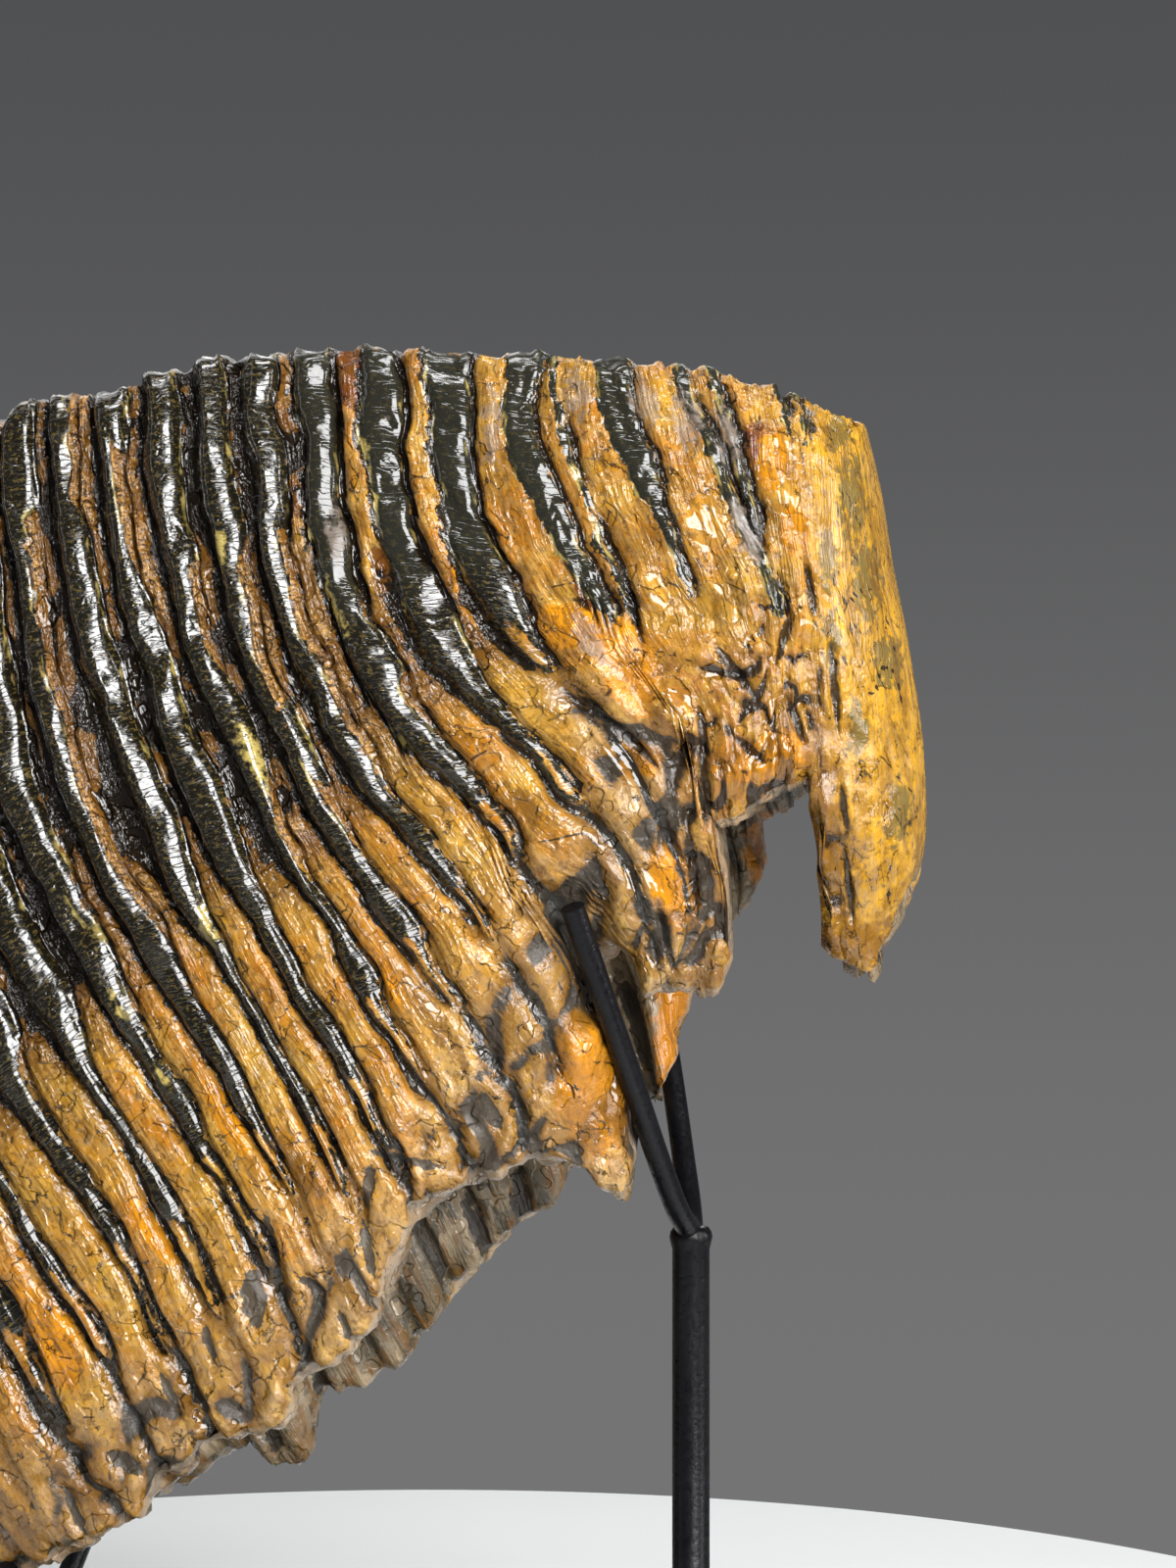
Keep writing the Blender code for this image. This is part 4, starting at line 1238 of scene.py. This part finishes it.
        # painted shade: black in the carved crevices
        colour = self.lay("dark", self.between(self.torn("crevice"), 0.1, 0.6, 0.0, 0.9), colour)
        colour = self.gaps(colour)
        colour = self.blend(self.mask("inside"), colour, self.hollow())
        # partly a painted highlight: the pale film of varnish along the root edges
        return self.lay("varnish_film_and_highlight", self.between(self.torn("skin"), 0.45, 0.7, 0.0, 0.6), colour)

    def height(self):
        """Fine relief in mm: wrinkles on the enamel, pits and fibres on the cement."""
        wrinkles = self.times(self.wrinkles, self.wrinkle_height)
        wrinkles = self.times(wrinkles, self.level(self.mask("ribbed"), 1.0, 0.3))
        wrinkles = self.plus(wrinkles, self.times(self.warp, 0.45))
        calm = self.times(self.between(self.warp, 0.55, 0.62, 1.0, 0.25), self.level(self.pooled, 1.0, 0.12))
        calm = self.times(calm, self.level(self.mask("shaded"), 1.0, 2.2))
        body = self.times(self.cement["Height"], self.level(self.mask("front"), calm, 0.9))
        return self.level(self.between(self.mask("rim"), 0.3, -0.3), body, wrinkles)

    def roughness(self):
        """Varnish is glossy, most of all where it pooled, and clay, dust and chewed places are dull."""
        rough = self.level(self.is_enamel, self.between(self.mask("mottle"), 0.0, 1.0, 0.08, 0.2), 0.10)
        satin = self.times(self.mask("root"), self.between(self.warp, 0.62, 0.5, 0.0, 0.5))
        clay = self.times(self.clay, self.level(self.mask("golden"), 1.0, 0.0))
        dull = self.most(self.most(clay, self.dusty), self.most(self.mask("crown"), satin))
        return self.level(self.pooled, self.level(dull, rough, 0.55), 0.07)

    def sheen(self):
        """Highlights on the enamel between its specks and wrinkles."""
        sheen = self.between(self.specks, 0.42, 0.54, 0.0, 0.85)
        sheen = self.times(sheen, self.between(self.wrinkles, 0.2, 0.9))
        return self.times(sheen, self.times(self.is_enamel, self.mask("shaded")))


def varnished_tooth(colours, sizes):
    material = new_material("varnished_fossil")
    finish = ToothFinish(material.node_tree, colours, sizes)
    finish.give("Base Color", finish.colour())
    finish.bump(finish.height())
    finish.give("Roughness", finish.roughness())
    finish.give("IOR", 1.55)
    finish.give("Coat Weight", finish.sheen())
    finish.give("Coat Roughness", 0.17)
    return material


# ------------------------------------------------------------------ paint and table top
def satin_black(colours):
    """Satin black paint with a light orange peel, thin dust and a few rubbed spots."""
    material = new_material("satin_black_paint")
    nodes = Nodes(material.node_tree)
    place = nodes.place_in_mm()
    rubbed = nodes.use("mottle", {"Vector": place, "Scale": 0.3})["Blotch"]
    paint = nodes.blend(nodes.times(rubbed, 0.4), tuple(colours.paint), tuple(colours.rubbed))
    dust = nodes.between(nodes.cloud(place, 2.6, 3.0, 0.7), 0.64, 0.72, 0.0, 0.5)
    nodes.give("Base Color", nodes.blend(dust, paint, tuple(colours.dust)))
    peel = nodes.cloud(place, 0.9, 3.0, 0.5)
    nodes.bump(nodes.times(peel, 0.12))
    nodes.give("Roughness", nodes.between(peel, 0.3, 0.7, 0.26, 0.4))
    nodes.give("Specular IOR Level", 0.2)
    return material


def pale_floor(colour_value):
    """A pale table top with faint clouds in its colour."""
    material = new_material("pale_table")
    nodes = Nodes(material.node_tree)
    clouds = nodes.cloud(nodes.put("TexCoord").outputs["Object"], 8.0, 3.0)
    darker = tuple(channel * 0.96 for channel in colour_value)
    nodes.give("Base Color", nodes.blend(clouds, darker, tuple(colour_value)))
    nodes.give("Roughness", 0.45)
    return material


# ------------------------------------------------------------------ pieces
def deselect():
    if bpy.context.object and bpy.context.object.mode != "OBJECT":
        bpy.ops.object.mode_set(mode="OBJECT")
    bpy.ops.object.select_all(action="DESELECT")


def face_outward():
    """Turns every face of the selected piece outward."""
    bpy.ops.object.mode_set(mode="EDIT")
    bpy.ops.mesh.select_all(action="SELECT")
    bpy.ops.mesh.normals_make_consistent(inside=False)
    bpy.ops.object.mode_set(mode="OBJECT")


def choose_edges(piece, wanted):
    """Selects, in edit mode, the edges whose two ends pass a test."""
    if piece.mode != "OBJECT":
        bpy.ops.object.mode_set(mode="OBJECT")
    data = piece.data
    data.polygons.foreach_set("select", [False] * len(data.polygons))
    data.vertices.foreach_set("select", [False] * len(data.vertices))
    for edge in data.edges:
        one, two = (data.vertices[i].co for i in edge.vertices)
        edge.select = wanted(one, two)
    bpy.ops.object.mode_set(mode="EDIT")
    bpy.ops.mesh.select_mode(type="EDGE")


def keep_place(piece):
    """Moves a piece's place into its mesh."""
    piece.data.transform(piece.matrix_world)
    piece.matrix_world.identity()


def paint_material(settings):
    return bpy.data.materials.get("satin_black_paint") or satin_black(settings)


def settle(piece, name, settings, node):
    """Names and paints a piece of the stand, ties it to the body, and hides the part of the node it stands
    for.
    """
    piece.name = name
    piece.data.name = name
    keep_place(piece)
    piece.data.materials.clear()
    piece.data.materials.append(paint_material(settings))
    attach(piece, BODY)
    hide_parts(node)
    return piece


class FOSSIL_OT_tooth(bpy.types.Operator):
    """Lofts the tooth through its plates, raises its ridges and cement, and varnishes it"""

    bl_idname = "fossil.tooth"
    bl_label = "Make tooth"

    def execute(self, context):
        deselect()
        make_groups()
        scene = context.scene
        data = tooth_mesh(scene.tooth_sizes)
        piece = bpy.data.objects.new("fossil_tooth", data)
        context.collection.objects.link(piece)
        piece.select_set(True)
        context.view_layer.objects.active = piece
        face_outward()
        bpy.ops.object.shade_smooth()
        data.materials.append(varnished_tooth(scene.tooth_colours, scene.tooth_sizes))
        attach(piece, BODY)
        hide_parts("mammoth_tooth")
        return {"FINISHED"}


class FOSSIL_OT_base(bpy.types.Operator):
    """Makes the flat steel base with rounded corners and broken edges"""

    bl_idname = "fossil.base"
    bl_label = "Make base"

    def execute(self, context):
        deselect()
        make_groups()
        length, width, height = (size * MM for size in BASE_SIZE)
        bpy.ops.mesh.primitive_cube_add(size=1, location=(0, 0, height / 2), scale=(length, width, height))
        piece = context.object
        bpy.ops.object.transform_apply(location=True, rotation=True, scale=True)
        choose_edges(piece, lambda a, b: abs(a.z - b.z) > MM)
        bpy.ops.mesh.bevel(offset=BASE_CORNER * MM, segments=10, affect="EDGES")
        choose_edges(piece, lambda a, b: abs(a.z - b.z) < 1e-6)
        bpy.ops.mesh.bevel(offset=BASE_EDGE * MM, segments=3, affect="EDGES")
        bpy.ops.object.mode_set(mode="OBJECT")
        bpy.ops.object.shade_smooth_by_angle(angle=math.radians(35))
        settle(piece, "base_bar", context.scene.stand_sizes, "base_plate")
        return {"FINISHED"}


class FOSSIL_OT_posts(bpy.types.Operator):
    """Makes the two upright bars with their weld beads"""

    bl_idname = "fossil.posts"
    bl_label = "Make posts"

    def execute(self, context):
        make_groups()
        settings = context.scene.stand_sizes
        for name, arm in ARMS.items():
            x, _, rod_height = arm[0]
            settle(upright(x, rod_height, settings.bead / MM), f"upright_{name}", settings, f"post_{name}")
        return {"FINISHED"}


def bar_outline(foot, top, bead):
    """(height, radius) up a bar that has a weld bead at its foot and a rounded weld at its top."""
    low_part = [(foot + height, POST_RADIUS + share * bead) for height, share in FOOT_OUTLINE]
    high_part = [(top + height, POST_RADIUS + extra) for height, extra in TOP_OUTLINE]
    return low_part + high_part


def roughen_welds(piece, x, foot, top):
    """Makes the surface lumpy near the two welds of a bar, but leaves its underside flat."""
    span, height = WELD_LUMPS
    for vertex in piece.data.vertices:
        place = vertex.co / MM
        weld = 0.0
        for end, (over, reach) in ((foot, FOOT_WELD), (top, TOP_WELD)):
            weld += max(0.0, 1 - abs(place.z - end - over) / reach)
        if place.z > foot + 0.1:
            out = Vector((place.x - x, place.y, 0)).normalized()
            lump = noise.noise(place / span) * height * min(weld, 1)
            vertex.co = (place + out * lump) * MM


def upright(x, rod_height, bead):
    """A round bar: a disc is extruded and widened step by step, then the welds are made lumpy."""
    deselect()
    foot = BASE_SIZE[2] + TOUCH_GAP
    top = rod_height + POST_RISE
    outline = bar_outline(foot, top, bead)
    height, radius = outline[0]
    bpy.ops.mesh.primitive_circle_add(
        vertices=POST_SIDES, radius=radius * MM, fill_type="NGON", location=(x * MM, 0, height * MM)
    )
    piece = bpy.context.object
    bpy.ops.object.mode_set(mode="EDIT")
    for (low, below), (high, above) in zip(outline, outline[1:]):
        bpy.ops.mesh.extrude_region_move(TRANSFORM_OT_translate={"value": (0, 0, (high - low) * MM)})
        share = above / below
        bpy.ops.transform.resize(value=(share, share, 1), center_override=(x * MM, 0, high * MM))
    face_outward()
    keep_place(piece)
    roughen_welds(piece, x, foot, top)
    bpy.ops.object.shade_smooth_by_angle(angle=math.radians(60))
    return piece


class FOSSIL_OT_cradles(bpy.types.Operator):
    """Makes the two bent rods that the tooth lies in"""

    bl_idname = "fossil.cradles"
    bl_label = "Make cradles"

    def execute(self, context):
        make_groups()
        for name, arm in ARMS.items():
            settle(bent_rod(arm), f"cradle_rod_{name}", context.scene.stand_sizes, f"cradle_{name}")
        return {"FINISHED"}


def bent_rod(arm):
    """A round rod bent along its route, with sawn ends that keep a slight burr."""
    deselect()
    curve = bpy.data.curves.new("rod", "CURVE")
    curve.dimensions = "3D"
    curve.bevel_depth = ROD_RADIUS * MM
    curve.bevel_resolution = 8
    curve.use_fill_caps = True
    route = rod_route(arm, ROD_STEP)
    spline = curve.splines.new("POLY")
    spline.points.add(len(route) - 1)
    for point, (x, y, z) in zip(spline.points, route):
        point.co = (x * MM, y * MM, z * MM, 1)
    piece = bpy.data.objects.new("rod", curve)
    bpy.context.collection.objects.link(piece)
    piece.select_set(True)
    bpy.context.view_layer.objects.active = piece
    bpy.ops.object.convert(target="MESH")
    piece = bpy.context.object
    for polygon in piece.data.polygons:
        polygon.select = len(polygon.vertices) > 4
    bpy.ops.object.mode_set(mode="EDIT")
    bpy.ops.mesh.select_mode(type="FACE")
    for narrower, outward in BURR_STEPS:
        bpy.ops.mesh.inset(thickness=narrower * MM, depth=outward * MM)
    bpy.ops.object.mode_set(mode="OBJECT")
    bpy.ops.object.shade_smooth_by_angle(angle=math.radians(45))
    return piece


# ------------------------------------------------------------------ the studio
class FOSSIL_OT_studio(bpy.types.Operator):
    """Makes the pale round table, the soft lights, the backdrop and the camera"""

    bl_idname = "fossil.studio"
    bl_label = "Make studio"

    def execute(self, context):
        settings = context.scene.studio
        table = table_top(settings)
        backdrop(context.scene, settings)
        for name, (place, size, power) in LIGHTS.items():
            soft_light(name, place, size, power)
        viewpoint(context.scene, settings)
        return {"FINISHED"}


def table_top(settings):
    """A round table top with a rounded upper edge."""
    deselect()
    middle = (0, 0, -TABLE_THICKNESS / 2)
    bpy.ops.mesh.primitive_cylinder_add(
        vertices=TABLE_SIDES, radius=settings.radius, depth=TABLE_THICKNESS, location=middle
    )
    table = bpy.context.object
    table.name = "table_top"
    keep_place(table)
    choose_edges(table, lambda a, b: a.z > -MM and b.z > -MM)
    bpy.ops.mesh.bevel(offset=TABLE_EDGE, segments=3, affect="EDGES")
    bpy.ops.object.mode_set(mode="OBJECT")
    bpy.ops.object.shade_smooth_by_angle(angle=math.radians(30))
    table.data.materials.append(pale_floor(settings.floor))
    return table


def backdrop(scene, settings):
    """Plain grey all round, a little lighter low down."""
    world = bpy.data.worlds.new("grey_backdrop")
    scene.world = world
    world.use_nodes = True
    nodes = Nodes(world.node_tree)
    place = nodes.put("TexCoord").outputs["Generated"]
    upward = nodes.put("SeparateXYZ", {0: place}).outputs["Z"]
    shade = nodes.blend(nodes.between(upward, -0.2, 0.25), tuple(settings.low), tuple(settings.high))
    nodes.feed(world.node_tree.nodes["Background"].inputs["Color"], shade)


def soft_light(name, place, size, power):
    """A rectangular soft box aimed at the middle of the tooth."""
    light = bpy.data.lights.new(name, "AREA")
    light.shape = "RECTANGLE"
    light.size, light.size_y = size
    light.energy = power
    holder = bpy.data.objects.new(name, light)
    bpy.context.collection.objects.link(holder)
    holder.location = place
    aim = Vector(LIGHT_TARGET) - Vector(place)
    holder.rotation_euler = aim.to_track_quat("-Z", "Y").to_euler()


def viewpoint(scene, settings):
    """A level camera in front of the near side, turned a little towards the tooth's front."""
    yaw = math.radians(CAMERA_YAW)
    right = Vector((math.cos(yaw), math.sin(yaw), 0))
    forward = Vector((-math.sin(yaw), math.cos(yaw), 0))
    lens = bpy.data.cameras.new("camera")
    lens.sensor_fit = "VERTICAL"
    lens.sensor_height = 36
    lens.lens = settings.lens
    holder = bpy.data.objects.new("camera", lens)
    scene.collection.objects.link(holder)
    level_place = right * CAMERA_ASIDE - forward * CAMERA_DISTANCE
    holder.location = level_place + Vector((0, 0, CAMERA_HEIGHT))
    holder.rotation_euler = forward.to_track_quat("-Z", "Y").to_euler()
    scene.camera = holder
    scene.view_settings.view_transform = "Standard"


# ------------------------------------------------------------------ the add-on
class FOSSIL_PT_sidebar(bpy.types.Panel):
    """Lists the steps that build the tooth, its stand and the studio"""

    bl_idname = "FOSSIL_PT_sidebar"
    bl_label = "Fossil mammoth tooth"
    bl_space_type = "VIEW_3D"
    bl_region_type = "UI"
    bl_category = "Fossil"

    def draw(self, context):
        layout = self.layout
        for group_name in GROUPS:
            box = layout.box()
            settings = getattr(context.scene, group_name)
            for name in settings.bl_rna.properties.keys():
                if name not in ("rna_type", "name"):
                    box.prop(settings, name)
        for operator in OPERATORS:
            layout.operator(operator.bl_idname)


OPERATORS = (FOSSIL_OT_tooth, FOSSIL_OT_base, FOSSIL_OT_posts, FOSSIL_OT_cradles, FOSSIL_OT_studio)
GROUPS = {
    "tooth_sizes": ToothSizes,
    "tooth_colours": ToothColours,
    "stand_sizes": StandSizes,
    "studio": StudioSettings,
}


def register():
    for item in (*GROUPS.values(), *OPERATORS, FOSSIL_PT_sidebar):
        bpy.utils.register_class(item)
    for name, item in GROUPS.items():
        setattr(bpy.types.Scene, name, PointerProperty(type=item))


def unregister():
    for name in GROUPS:
        delattr(bpy.types.Scene, name)
    for item in (FOSSIL_PT_sidebar, *reversed(OPERATORS), *reversed(list(GROUPS.values()))):
        bpy.utils.unregister_class(item)


def main():
    register()
    bpy.ops.fossil.tooth()
    bpy.ops.fossil.base()
    bpy.ops.fossil.posts()
    bpy.ops.fossil.cradles()
    bpy.ops.fossil.studio()


if __name__ == "__main__":
    main()
